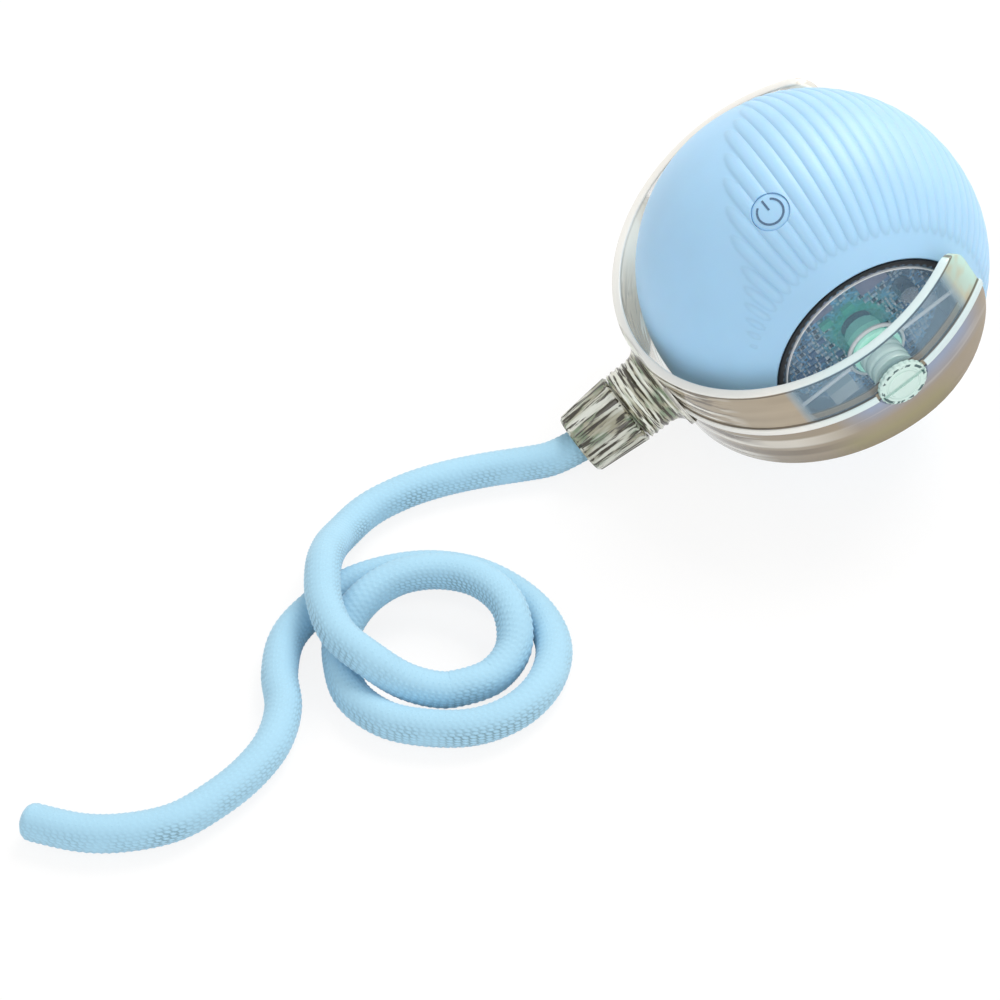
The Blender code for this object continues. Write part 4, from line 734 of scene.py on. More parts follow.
class CATBALL_OT_sleeve(bpy.types.Operator):
    """Mould the ribbed silicone sleeve with its round openings"""

    bl_idname = "cat_ball.sleeve"
    bl_label = "Sleeve"
    bl_options = {"REGISTER", "UNDO"}

    def execute(self, context):
        settings = context.scene.cat_ball_sleeve
        bm = bmesh.new()
        bmesh.ops.create_uvsphere(bm, u_segments=RIB_STEPS * RIB_COUNT, v_segments=BALL_RINGS, radius=1.0)
        bmesh.ops.rotate(bm, cent=(0, 0, 0), matrix=Matrix.Rotation(math.pi / 2, 3, "X"), verts=bm.verts)
        lip = settings.lip
        edge_y = math.sqrt(BALL_R**2 - (SLEEVE_HOLE_R + lip) ** 2)
        for way in (-1, 1):
            bmesh.ops.bisect_plane(bm, geom=bm.verts[:] + bm.edges[:] + bm.faces[:], dist=WELD,
                                   plane_co=(0, way * edge_y / BALL_R, 0), plane_no=(0, way, 0), clear_outer=True)
        for corner in bm.verts:
            direction = corner.co.normalized()
            corner.co = direction * (BALL_R + settings.rib_rise * rib_height(direction))
        rim = [edge for edge in bm.edges if edge.is_boundary and edge.verts[0].co.y > 0]
        inner_r = BALL_R - SLEEVE_WALL
        inner_y = math.sqrt(inner_r**2 - SLEEVE_HOLE_R**2)
        # The lip, the inner wall from one opening to the other, and the other lip
        profile = [(SLEEVE_HOLE_R + lip * 0.3, edge_y - lip * 0.15), (SLEEVE_HOLE_R, edge_y - lip)]
        profile.append((SLEEVE_HOLE_R, inner_y))
        inside = math.asin(inner_y / inner_r)
        profile += [(inner_r * math.cos(inside * (1 - i / 5)), inner_r * math.sin(inside * (1 - i / 5)))
                    for i in range(1, 6)]
        profile += [(radius, -along) for radius, along in reversed(profile[:-1])]
        profile.append((SLEEVE_HOLE_R + lip, -edge_y))
        for radius, along in profile:
            grown = bmesh.ops.extrude_edge_only(bm, edges=rim)["geom"]
            for corner in (part for part in grown if isinstance(part, bmesh.types.BMVert)):
                across = Vector((corner.co.x, 0, corner.co.z)).normalized() * radius
                corner.co = (across.x, along, across.z)
            rim = [part for part in grown if isinstance(part, bmesh.types.BMEdge)]
        bmesh.ops.transform(bm, matrix=TILTED, verts=bm.verts)
        bmesh.ops.remove_doubles(bm, verts=bm.verts, dist=5 * WELD)
        bmesh.ops.recalc_face_normals(bm, faces=bm.faces)
        piece = made("ribbed_sleeve", bm, silicone(settings, "moulded silicone rubber", settings.rib_rise))
        hole = bmesh.new()
        hole_r, reach = BUTTON_R + 0.08 * MM, BALL_R + 2 * MM
        outline = [(0, inner_r - 2 * MM), (hole_r, inner_r - 2 * MM), (hole_r, BALL_R - 0.05 * MM)]
        outline += [(hole_r + 0.15 * MM, BALL_R + 0.5 * MM), (hole_r + 0.15 * MM, reach), (0, reach)]
        lathe(hole, outline, TILTED @ towards(on_ball(BUTTON_LATITUDE, BUTTON_LONGITUDE)), 64)
        combine(piece, "DIFFERENCE", hole)
        carried(piece, "ball", "blue_silicone", "silicone_sleeve")
        return {"FINISHED"}


class CATBALL_OT_button(bpy.types.Operator):
    """Make the round button and print the power icon on it"""

    bl_idname = "cat_ball.button"
    bl_label = "Power button"
    bl_options = {"REGISTER", "UNDO"}

    def execute(self, context):
        settings = context.scene.cat_ball_sleeve
        axis = on_ball(BUTTON_LATITUDE, BUTTON_LONGITUDE)
        placing = TILTED @ towards(axis)
        under = BUTTON_TOP - BUTTON_THICK
        outline = [(0, BUTTON_TOP - BUTTON_HEIGHT), (BUTTON_STEM_R, BUTTON_TOP - BUTTON_HEIGHT)]
        outline += [(BUTTON_STEM_R, under), (BUTTON_R, under), (BUTTON_R, BUTTON_TOP - BUTTON_CROWN)]
        outline += [(BUTTON_R * math.sin(turn), self.crown(turn)) for turn in (1.2, 0.9, 0.6, 0.3)]
        outline.append((0, BUTTON_TOP))
        bm = bmesh.new()
        lathe(bm, outline, placing, 64)
        button = made("button_cap", bm, silicone(settings, "silicone button", 0.0))
        carried(button, "button", "blue_silicone", "power_button")
        material, add, shader = finish("pad printed ink", tuple(settings.icon_colour), {"Roughness": 0.45})
        # Pad printing leaves small thin spots where the ink didn't take
        varied(add, shader, add("TexCoord", out="Object"), tuple(settings.icon_colour),
               scaled(settings.icon_colour, 1.5), 0.3 * MM)
        icon = made("power_icon", self.icon(settings, axis), material)
        carried(icon, "button", "blue_silicone")
        return {"FINISHED"}

    def crown(self, turn):
        """The height of the button's rounded face, this far round from its middle."""
        return BUTTON_TOP - BUTTON_CROWN + BUTTON_CROWN * math.cos(turn) ** 0.8

    def icon(self, settings, axis):
        """A ring with a gap, and a stem in the gap, as a thin raised print."""
        camera = bpy.context.scene.camera.matrix_world.to_3x3()
        outward = (TILTED.to_3x3() @ axis).normalized()
        up = camera @ Vector((-0.62, 0.78, 0))
        up = (up - outward * up.dot(outward)).normalized()
        side = up.cross(outward)
        placing = Matrix((side, up, outward)).transposed().to_4x4()
        placing.translation = CENTRE
        half, low = settings.icon_line / 2, BUTTON_TOP - 0.2 * MM
        gap = math.radians(ICON_GAP)
        bm = bmesh.new()
        ring_r = settings.icon_radius
        points = [bm.verts.new((ring_r + across, 0, low)) for across in (-half, half)]
        edge = bm.edges.new(points)
        begin = Matrix.Rotation(math.pi / 2 + gap, 3, "Z")
        bmesh.ops.rotate(bm, cent=(0, 0, 0), matrix=begin, verts=points)
        bmesh.ops.spin(bm, geom=points + [edge], cent=(0, 0, 0), axis=(0, 0, 1), angle=math.tau - 2 * gap,
                       steps=40)
        stem = bmesh.new()
        bmesh.ops.create_grid(stem, x_segments=2, y_segments=8, size=0.5)
        bmesh.ops.scale(stem, vec=(2 * half, ring_r * 0.95, 1), verts=stem.verts)
        bmesh.ops.translate(stem, vec=(0, ring_r * 0.62, low), verts=stem.verts)
        absorb(bm, stem)
        bmesh.ops.recalc_face_normals(bm, faces=bm.faces)
        for corner in bm.verts:
            from_middle = math.hypot(corner.co.x, corner.co.y) / BUTTON_R
            turn = math.asin(min(1.0, from_middle))
            corner.co.z = self.crown(turn) - 0.02 * MM
        upper = bmesh.ops.extrude_face_region(bm, geom=bm.faces[:])
        raised = [part for part in upper["geom"] if isinstance(part, bmesh.types.BMVert)]
        bmesh.ops.translate(bm, vec=(0, 0, 0.07 * MM), verts=raised)
        bmesh.ops.recalc_face_normals(bm, faces=bm.faces)
        bmesh.ops.transform(bm, matrix=placing, verts=bm.verts)
        return bm


class CATBALL_OT_windows(bpy.types.Operator):
    """Make the clear windows at both poles, with their bars, hubs and dark seals"""

    bl_idname = "cat_ball.windows"
    bl_label = "Windows"
    bl_options = {"REGISTER", "UNDO"}

    def execute(self, context):
        clear_settings = context.scene.cat_ball_clear
        tint = tuple(clear_settings.window)
        # Polished polycarbonate: glossy, faintly blue, with painted shade along its edges
        glass, _, _ = clear("polished polycarbonate window", tint, scaled(tint, 0.6), 0.04, 1.58, 0.16, 0.0)
        bar_glass, _, _ = clear("milky polycarbonate bar", linear("fbfdff"), linear("c3d3dc"), 0.1, 1.58, 1.0, 0.2)
        seal = moulded("moulded rubber seal", linear("15181d"), 0.5, 0.3 * MM, 0.01 * MM)
        near_hub = [(HUB_BORE_R, NEAR_HUB_END), (HUB_R, NEAR_HUB_END)]
        far_hub = [(HUB_BORE_R, NEAR_HUB_END - GAP), (AXLE_BORE_R, NEAR_HUB_END - GAP)]
        far_hub += [(AXLE_BORE_R, FAR_HUB_END), (HUB_R, FAR_HUB_END)]
        for side, axis, hub in (("near", AXLE_NEAR, near_hub), ("far", AXLE_FAR, far_hub)):
            placing = TILTED @ towards(axis)
            outline = [*hub, (HUB_R, WINDOW_BACK), (WINDOW_R, WINDOW_BACK), (WINDOW_R, WINDOW_FACE)]
            outline.append((HUB_BORE_R, WINDOW_FACE))
            bm = bmesh.new()
            lathe(bm, outline, placing, 144, 0.15 * MM)
            window = made(f"clear_disc_{side}", bm, glass)
            if side == "far":
                slot = bmesh.new()
                brick(slot, PORT_SLOT, (0, WINDOW_BACK + 0.75 * MM, -PORT_DROP), TILTED, 0.5 * MM)
                combine(window, "DIFFERENCE", slot)
            carried(window, "ball", "clear_window", f"window_{side}")
            self.bars(side, axis, bar_glass)
            self.seal(side, placing, seal)
        return {"FINISHED"}

    def bars(self, side, axis, material):
        """A round-topped bar each side of the hub, a raised ring round the hub's bush, and a thin white ring inside
        the rim as a painted highlight.
        """
        bm = bmesh.new()
        low, high = WINDOW_FACE + PROUD, WINDOW_FACE + 0.35 * MM
        for way in (-1, 1):
            centre = Vector((way * (BAR_START + BAR_END) / 2, 0, 0)) + axis * (low + BAR_SIZE / 2)
            brick(bm, (BAR_END - BAR_START, BAR_SIZE, BAR_SIZE), centre, TILTED, 0.15 * MM)
        lathe(bm, [(BUSH_RING_R, low), (BUSH_RING_OUTER_R, low), (BUSH_RING_OUTER_R, WINDOW_FACE + 0.5 * MM),
                   (BUSH_RING_R, WINDOW_FACE + 0.6 * MM)], TILTED @ towards(axis), 72, 0.12 * MM)
        # A painted highlight: a thin white ring where the window's bevel would catch the light
        lathe(bm, [(RIM_RING_R, low), (RIM_RING_OUTER_R, low), (RIM_RING_OUTER_R - 0.04 * MM, high),
                   (RIM_RING_R + 0.04 * MM, high)], TILTED @ towards(axis), 144)
        carried(made(f"window_bars_{side}", bm, material), "ball", "clear_window")

    def seal(self, side, placing, material):
        """A dark ring over the window's edge, toothed inside where it grips the window."""
        bm = bmesh.new()
        low, high = WINDOW_FACE + PROUD, WINDOW_FACE + 0.4 * MM
        lathe(bm, [(SEAL_R, low), (SEAL_OUTER_R, low), (SEAL_OUTER_R, high), (17.5 * MM, high),
                   (SEAL_R, low + 0.12 * MM)], placing, SEAL_STEPS)
        middle = placing.inverted()
        for corner in bm.verts:
            local = middle @ corner.co
            radius = math.hypot(local.x, local.y)
            number = round(math.atan2(local.y, local.x) / math.tau * SEAL_STEPS)
            if radius < SEAL_R + 0.15 * MM and number % 3 == 0:
                grown = (radius - SEAL_TOOTH) / radius
                corner.co = placing @ Vector((local.x * grown, local.y * grown, local.z))
        bmesh.ops.recalc_face_normals(bm, faces=bm.faces)
        carried(made(f"window_seal_{side}", bm, material), "ball", "dark_shell")


def drawn_in(from_end, reach, width):
    """How far a round corner draws the band's edge in, at a distance from the band's end."""
    if from_end >= reach:
        return 0.0
    return width * (1 - math.sqrt(1 - (1 - from_end / reach) ** 2))


class CATBALL_OT_yoke(bpy.types.Operator):
    """Make the clear C-shaped yoke with its mid rib, pads and ringed neck"""

    bl_idname = "cat_ball.yoke"
    bl_label = "Yoke"
    bl_options = {"REGISTER", "UNDO"}

    def execute(self, context):
        settings = context.scene.cat_ball_clear
        band = self.band(settings.edge)
        piece = made("clear_yoke", band, self.plastic(settings))
        neck = bmesh.new()
        lathe(neck, self.neck_outline(), TILTED @ towards(TO_NECK), 72)
        combine(piece, "UNION", neck)
        for axis in (AXLE_NEAR, AXLE_FAR):
            placing = TILTED @ towards(axis)
            middle = (YOKE_INNER_R + YOKE_R) / 2
            pad = bmesh.new()
            lathe(pad, [(0, PAD_FACE), (PAD_R - 0.2 * MM, PAD_FACE), (PAD_R, PAD_FACE + 0.2 * MM),
                        (PAD_R, middle), (0, middle)], placing, 64)
            combine(piece, "UNION", pad)
            sink = bmesh.new()
            high = YOKE_R + 2 * MM
            lathe(sink, [(0, PAD_FACE - MM), (SCREW_HOLE_R, PAD_FACE - MM), (SCREW_HOLE_R, SPOTFACE),
                         (SPOTFACE_R, SPOTFACE), (SPOTFACE_R, high), (0, high)], placing, 64)
            combine(piece, "DIFFERENCE", sink)
        carried(piece, "tether", "clear_yoke", "yoke")
        return {"FINISHED"}

    def stations(self):
        """(angle from the neck, lower edge, upper edge) along the band, close together near its ends."""
        tips = [TIP_CORNER * (1 - math.sin(math.pi / 2 * i / 10)) for i in range(11)]
        heels = [HEEL_LENGTH * (1 - math.sin(math.pi / 2 * i / 16)) for i in range(16)]
        straight = YOKE_REACH - HEEL_LENGTH / YOKE_R
        one_side = [(straight * i / 36, -YOKE_HALF_WIDTH, YOKE_HALF_WIDTH) for i in range(36)]
        for from_end in sorted(tips + heels, reverse=True):
            low = drawn_in(from_end, HEEL_LENGTH, HEEL_WIDTH) - YOKE_HALF_WIDTH
            high = YOKE_HALF_WIDTH - drawn_in(from_end, TIP_CORNER, TIP_CORNER)
            one_side.append((YOKE_REACH - from_end / YOKE_R, low, high))
        return [(-angle, low, high) for angle, low, high in reversed(one_side[1:])] + one_side

    def section(self, low, high, crest, edge, inset=0.0):
        """The band's outline across: a flat strap with round corners and the mid rib on its outer face."""
        inner, outer = YOKE_INNER_R + inset, YOKE_R - inset
        low, high = low + inset, high - inset
        rib = YOKE_RIB_WIDTH / 2 - inset
        points = []

        def corner(radius, across, turn, size):
            for i in range(4):
                angle = math.radians(turn + 30 * i)
                points.append((radius + size * math.cos(angle), across + size * math.sin(angle)))

        corner(inner + edge, low + edge, 180, edge)
        corner(outer - edge, low + edge, 270, edge)
        # The lower side's flat is short at the band's ends, so the rib's foot is held above its corner
        foot = max(low + edge * 1.05, -rib - 0.15 * MM)
        points += [(outer, foot), (outer + (crest - outer) * 0.25, -rib)]
        corner(crest - ROUND_RIB, -rib + ROUND_RIB, 270, ROUND_RIB)
        corner(crest - ROUND_RIB, rib - ROUND_RIB, 0, ROUND_RIB)
        points += [(outer + (crest - outer) * 0.25, rib), (outer, rib + 0.15 * MM)]
        corner(outer - edge, high - edge, 0, edge)
        corner(inner + edge, high - edge, 90, edge)
        return points

    def band(self, edge):
        """The section carried round the ball from one end to the other."""
        stations = self.stations()
        crest = YOKE_R + YOKE_RIB_RISE
        rings = [(angle, self.section(low, high, crest, edge)) for angle, low, high in stations[1:-1]]
        # Each end is rounded: its last ring but one has a lower rib, and its last is drawn in all round
        for way, (angle, low, high) in ((-1, stations[0]), (1, stations[-1])):
            ends = [(angle, self.section(low, high, crest - 0.1 * MM, edge)),
                    (angle + way * BAND_END / YOKE_R, self.section(low, high, crest - 0.2 * MM, edge, BAND_END))]
            rings = rings + ends if way > 0 else ends[::-1] + rings
        bm = bmesh.new()
        bmesh.ops.create_circle(bm, segments=len(rings[0][1]), radius=1.0)
        loop_verts = list(bm.verts)
        loop_edges = list(bm.edges)
        for number, (angle, points) in enumerate(rings):
            if number:
                grown = bmesh.ops.extrude_edge_only(bm, edges=loop_edges)["geom"]
                fresh = [part for part in grown if isinstance(part, bmesh.types.BMVert)]
                loop_edges = [part for part in grown
                              if isinstance(part, bmesh.types.BMEdge) and all(v in fresh for v in part.verts)]
                before = {vert: spot for spot, vert in enumerate(loop_verts)}
                order = [None] * len(loop_verts)
                for vert in fresh:
                    old = next(other for edge in vert.link_edges for other in edge.verts if other in before)
                    order[before[old]] = vert
                loop_verts = order
            for vert, (radius, across) in zip(loop_verts, points):
                vert.co = (-radius * math.cos(angle), -radius * math.sin(angle), across)
        bmesh.ops.holes_fill(bm, edges=[side for side in bm.edges if side.is_boundary], sides=0)
        solid(bm)
        bmesh.ops.transform(bm, matrix=TILTED, verts=bm.verts)
        return bm

    def neck_outline(self):
        """The neck: flared root, four rings, and the thin end that the collar covers."""
        outline = [(0, (YOKE_INNER_R + YOKE_R) / 2), (NECK_ROOT_R, (YOKE_INNER_R + YOKE_R) / 2)]
        for i in range(9):
            turn = math.pi / 2 * i / 8
            outline.append((NECK_ROOT_R - (NECK_ROOT_R - NECK_R) * math.sin(turn),
                            NECK_ROOT_END - 2.2 * MM * math.cos(turn)))
        pitch = (NECK_END - NECK_ROOT_END) / NECK_RINGS
        for i in range(8 * NECK_RINGS):
            dip = NECK_RING_DEPTH * (0.5 - 0.5 * math.cos(math.tau * i / 8))
            outline.append((NECK_R - dip, NECK_ROOT_END + pitch * i / 8 + 0.02 * MM))
        outline += [(NECK_R - 0.2 * MM, NECK_END), (NECK_TUBE_R, NECK_END), (NECK_TUBE_R, NECK_TUBE_END - 0.3 * MM)]
        outline += [(NECK_TUBE_R - 0.3 * MM, NECK_TUBE_END), (NECK_BORE_R, NECK_TUBE_END)]
        outline += [(NECK_BORE_R, NECK_BORE_END), (0, NECK_BORE_END)]
        return outline

    def plastic(self, settings):
        """Polished polycarbonate: clear over the windows, painted light on its narrow faces, and painted
        reflections and shade in warm grey everywhere else.
        """
        tint, shade = tuple(settings.yoke), tuple(settings.shade)
        values = {"Roughness": 0.05, "IOR": 1.58, "Emission Color": (*linear("e2dccf"), 1)}
        material, add, shader = finish("polished polycarbonate yoke", tint, values)
        place = tilted_place(add)
        x, y, z = (add("SeparateXYZ", place, out=axis) for axis in "XYZ")
        radius = distance_from_line(add, place, (1, 1, 0))
        # The yoke's sizes in millimetres, as the place is. Each MapRange runs from where its share begins to
        # where it is whole
        sizes = (YOKE_INNER_R, YOKE_R, YOKE_HALF_WIDTH, YOKE_RIB_WIDTH / 2, PAD_R)
        inner, outer, half, rib, pad = (size / MM for size in sizes)
        far = add("MapRange", y, -4.0, 6.0)
        # Painted light: the far arm is drawn pale except close to the neck, lighter than its shaded inner face
        # would be
        pale = add("Math", far, add("MapRange", x, -30.0, -23.0, 0.0, 0.9), operation="MULTIPLY")
        ends = add("MapRange", x, 12.0, 20.0)
        lobe = add("Math", ends, add("MapRange", y, 0.0, -5.0), operation="MULTIPLY")
        # Painted light: the upper edge's face and the mid rib are drawn milky white, where light leaves the plastic
        on_edge = add("MapRange", z, half - 0.35, half - 0.2)
        on_rib = add("MapRange", radius, outer + 0.1, outer + 0.25)
        milky = add("Math", on_edge, on_rib, operation="MAXIMUM")
        lower = add("MapRange", z, -0.6, -1.0)
        over_window = add("MapRange", add("Math", x, operation="ABSOLUTE"), 16.5, 14.5)
        seen_through = add("Math", over_window, add("MapRange", z, 0.8, 1.2), operation="MULTIPLY")
        over_pin = add("MapRange", add("Math", x, operation="ABSOLUTE"), pad, pad - 0.6)
        # Painted reflection: the end of the near arm is pale green, in patches
        spot = add("MapRange", add("TexNoise", place, 1 / 3.5, 1.0), 0.45, 0.75)
        mint_reflection = add("Mix", spot, linear("bfe6db"), linear("c9c3a0"), data_type="RGBA")
        upper_body = add("Mix", lobe, self.painted_upper_half(add, place, shade, x), mint_reflection, data_type="RGBA")
        lower_body = self.painted_outer_half(add, place, shade, x, z, ends)
        # Painted reflection of the ball: the inner face's lower half over the windows is blue grey
        on_inner = add("MapRange", radius, inner + 0.6, inner + 0.3)
        inner_face = add("Math", on_inner, over_window, operation="MULTIPLY")
        inner_ball_reflection = add("Math", inner_face, lower, operation="MULTIPLY")
        # Painted shade: a dark rim where the plastic is looked along, weaker on the far arm
        facing = add("LayerWeight", 0.3, out="Facing")
        grazing_shade = add("MapRange", facing, 0.72, 1.0, 0.0, 0.7)
        rim = add("Math", grazing_shade, add("MapRange", far, 0, 1, 1.0, 0.2), operation="MULTIPLY")
        # Painted dark lines, standing in for refraction, where the flat faces meet the milky ones
        upper_line = between(add, z, half - 0.75, half - 0.4, 0.08)
        rib_line = between(add, add("Math", z, operation="ABSOLUTE"), rib, rib + 0.35, 0.08)
        lines = add("Math", upper_line, rib_line, operation="MAXIMUM")
        line = add("Math", lines, add("MapRange", pale, 0, 1, 0.85, 0.1), operation="MULTIPLY")
        dark = add("Mix", over_window, linear("5c5142"), linear("22333d"), data_type="RGBA")
        # The painted light on the milky faces turns from cream to pale blue on the near side
        near = add("MapRange", far, 0, 1, 1.0, 0.0)
        bluish = add("Math", add("MapRange", x, -18.0, -8.0), near, operation="MULTIPLY")
        painted_edge_light = add("Mix", bluish, linear("f1f0ea"), linear("d9ecee"), data_type="RGBA")
        on_neck = add("MapRange", x, -31.6, -32.8)
        # Over the two halves: the blue seen through, then the painted reflection, painted light, painted rim and
        # lines, painted edge light and the neck's painted reflections
        colour = upper_body
        for share, layer in ((lower, lower_body), (seen_through, linear("a8d0ea")), (inner_ball_reflection, linear("7fa9bd")),
                             (pale, linear("e6e2d8")), (rim, linear("6d6a5c")), (line, dark), (milky, painted_edge_light),
                             (on_neck, reflection_streaks(add, place, 0.25))):
            colour = add("Mix", share, colour, layer, data_type="RGBA")
        feed(shader, "Base Color", colour)
        unlined = add("MapRange", add("Math", milky, line, operation="MAXIMUM"), 0.0, 0.8, 1.0, 0.0)
        open_share = add("Math", seen_through, unlined, operation="MULTIPLY")
        open_share = add("Math", open_share, add("MapRange", over_pin, 0, 1, 0.9, 1.0), operation="MULTIPLY")
        # Most of the lamps' light passes through the plastic and reaches the ball and the floor behind it
        lamp_share = add("MapRange", add("LightPath", out="Is Shadow Ray"), 0, 1, 1.0, 0.3)
        closed = add("MapRange", open_share, 0, 1, 1.0, 0.08)
        feed(shader, "Alpha", add("Math", closed, lamp_share, operation="MULTIPLY"))
        # Painted light: the inner face glows, for the light that comes through to it, which the ball would
        # otherwise keep dark
        lit = add("MapRange", radius, inner + 0.7, inner + 0.4)
        lit = add("Math", lit, add("MapRange", z, half - 0.2, half - 0.6), operation="MULTIPLY")
        lit = add("Math", lit, add("MapRange", far, 0, 1, 0.12, 0.34), operation="MULTIPLY")
        feed(shader, "Emission Strength", lit)
        return material

    def painted_upper_half(self, add, place, shade, x):
        """The upper side away from the windows: even tan, a painted reflection and shade of the clear plastic, with
        painted lines near the neck.
        """
        drawn = add("Mapping", place, Scale=(0.12, 0.12, 1))
        patches = add("MapRange", add("TexNoise", drawn, 1 / 3.0), 0.3, 0.7)
        tan = add("Mix", patches, scaled(shade, 0.84), scaled(shade, 1.02), data_type="RGBA")
        return self.fanned_reflections(add, drawn, tan, add("MapRange", x, -24.0, -29.0))

    def fanned_reflections(self, add, drawn, colour, near_neck):
        """Painted reflections: dark and white lines where the band grows out of the neck."""
        for size, low, high, line in ((0.9, 0.48, 0.55, "5a4e3f"), (1.7, 0.52, 0.6, "f2efe4")):
            lines = add("MapRange", add("TexNoise", drawn, 1 / size, 3.0), low, high)
            share = add("Math", near_neck, lines, operation="MULTIPLY")
            colour = add("Mix", share, colour, linear(line), data_type="RGBA")
        return colour

    def painted_outer_half(self, add, place, shade, x, z, ends):
        """The outer half, in painted light: streaks of painted highlight along the band, painted reflections in
        lilac below the rib and olive lower down, and painted brown shade at its edge.
        """
        drawn = add("Mapping", place, Scale=(0.05, 0.05, 1))
        highlight_streaks = add("MapRange", add("TexNoise", drawn, 1 / 2.2, 2.0), 0.56, 0.74)
        tan = add("Mix", highlight_streaks, scaled(shade, 0.74), linear("cfc6b6"), data_type="RGBA")
        lilac = add("Mix", highlight_streaks, linear("8f9fbd"), linear("d9dcec"), data_type="RGBA")
        near_neck = add("MapRange", x, -10.0, -20.0)
        # Where along the band, where across it, how strong and in what colour: the first two are painted
        # reflections in lilac and olive, the last two a painted highlight near the neck and the painted shadow
        # below it
        patches = (
            (between(add, x, -7.0, 13.0, 6.0), add("MapRange", z, -6.0, -2.0), 0.85, lilac),
            (between(add, x, -12.0, 4.0, 5.0), add("MapRange", z, -5.5, -8.5), 0.8, linear("90895c")),
            (near_neck, between(add, z, -5.6, -3.6, 0.5), 0.55, linear("fdfaf0")),
            (near_neck, between(add, z, -8.2, -7.0, 0.6), 0.7, linear("6b5d48")),
        )
        for along, across, strength, colour in patches:
            share = add("Math", add("Math", along, across, operation="MULTIPLY"), strength, operation="MULTIPLY")
            tan = add("Mix", share, tan, colour, data_type="RGBA")
        tan = self.fanned_reflections(add, drawn, tan, add("MapRange", x, -24.0, -28.0))
        # Painted shade: the band darkens to brown towards its lower edge
        brown = add("MapRange", z, -8.5, -11.2, 0.0, 0.7)
        edge = add("Mix", ends, linear("7a6c52"), linear("8a7a62"), data_type="RGBA")
        return add("Mix", brown, tan, edge, data_type="RGBA")


def reflection_streaks(add, place, turned):
    """Clear plastic with painted reflections: dark, white and olive lines, along the neck or this much round it."""
    stretch = (0.08 + turned * 6, 1 - turned * 3.4, 1 - turned * 3.4)
    drawn = add("Mapping", place, Scale=stretch)
    dark = add("MapRange", add("TexNoise", drawn, 1 / 0.7, 3.0), 0.5, 0.56)
    grey = add("MapRange", add("TexNoise", place, 1 / 3.0, 3.0), 0.46, 0.6)
    olive = add("MapRange", add("TexNoise", drawn, 1 / 1.4, 2.0), 0.42, 0.55)
    green = add("Mix", grey, linear("b5b29a"), linear("8a9c80"), data_type="RGBA")
    body = add("Mix", olive, linear("f6f8ec"), green, data_type="RGBA")
    return add("Mix", dark, body, linear("413c2e"), data_type="RGBA")


class CATBALL_OT_collar(bpy.types.Operator):
    """Make the clear knurled ring that clamps the rope"""

    bl_idname = "cat_ball.collar"
    bl_label = "Clamp collar"
    bl_options = {"REGISTER", "UNDO"}

    def execute(self, context):
        settings = context.scene.cat_ball_clear
        placing = TILTED @ towards(TO_NECK)
        outline = [(NECK_R - 0.45 * MM, COLLAR_START), (NECK_R, COLLAR_START + 0.4 * MM)]
        slope = (COLLAR_TIP_R - NECK_R) / (COLLAR_END - COLLAR_START)
        tenth = (COLLAR_END - COLLAR_START) / 10
        outline += [(NECK_R + slope * tenth * i, COLLAR_START + tenth * i) for i in range(1, 10)]
        outline += [(COLLAR_TIP_R, COLLAR_END - 0.5 * MM), (COLLAR_TIP_R - 0.4 * MM, COLLAR_END - 0.05 * MM)]
        outline += [(NECK_BORE_R + 0.3 * MM, COLLAR_END), (NECK_BORE_R, COLLAR_END - 0.3 * MM)]
        outline += [(NECK_BORE_R, COLLAR_STEP), (COLLAR_BORE_R, COLLAR_STEP), (COLLAR_BORE_R, COLLAR_START)]
        bm = bmesh.new()
        lathe(bm, outline, Matrix.Identity(4), 8 * KNURL_COUNT)
        for corner in bm.verts:
            radius = math.hypot(corner.co.x, corner.co.y)
            along = corner.co.z
            skin = NECK_R + slope * (along - COLLAR_START)
            inside = COLLAR_START + 0.7 * MM < along < COLLAR_END - 0.7 * MM
            if inside and radius > skin - 0.05 * MM:
                turn = math.atan2(corner.co.y, corner.co.x) * KNURL_COUNT
                cut = KNURL_DEPTH * (0.5 - 0.5 * math.cos(turn)) ** 2
                corner.co.x *= (radius - cut) / radius
                corner.co.y *= (radius - cut) / radius
        bmesh.ops.recalc_face_normals(bm, faces=bm.faces)
        bmesh.ops.transform(bm, matrix=placing, verts=bm.verts)
        # Polished polycarbonate with a fluted skin, drawn with painted reflections: dark and white lines that hide
        # the rope inside
        values = {"Roughness": 0.08, "IOR": 1.58, "Transmission Weight": 0.25}
        material, add, shader = finish("fluted polycarbonate collar", tuple(settings.yoke), values)
        feed(shader, "Base Color", reflection_streaks(add, tilted_place(add), 0.0))
        carried(made("knurled_collar", bm, material), "collar", "clear_yoke", "clamp_collar")
        return {"FINISHED"}


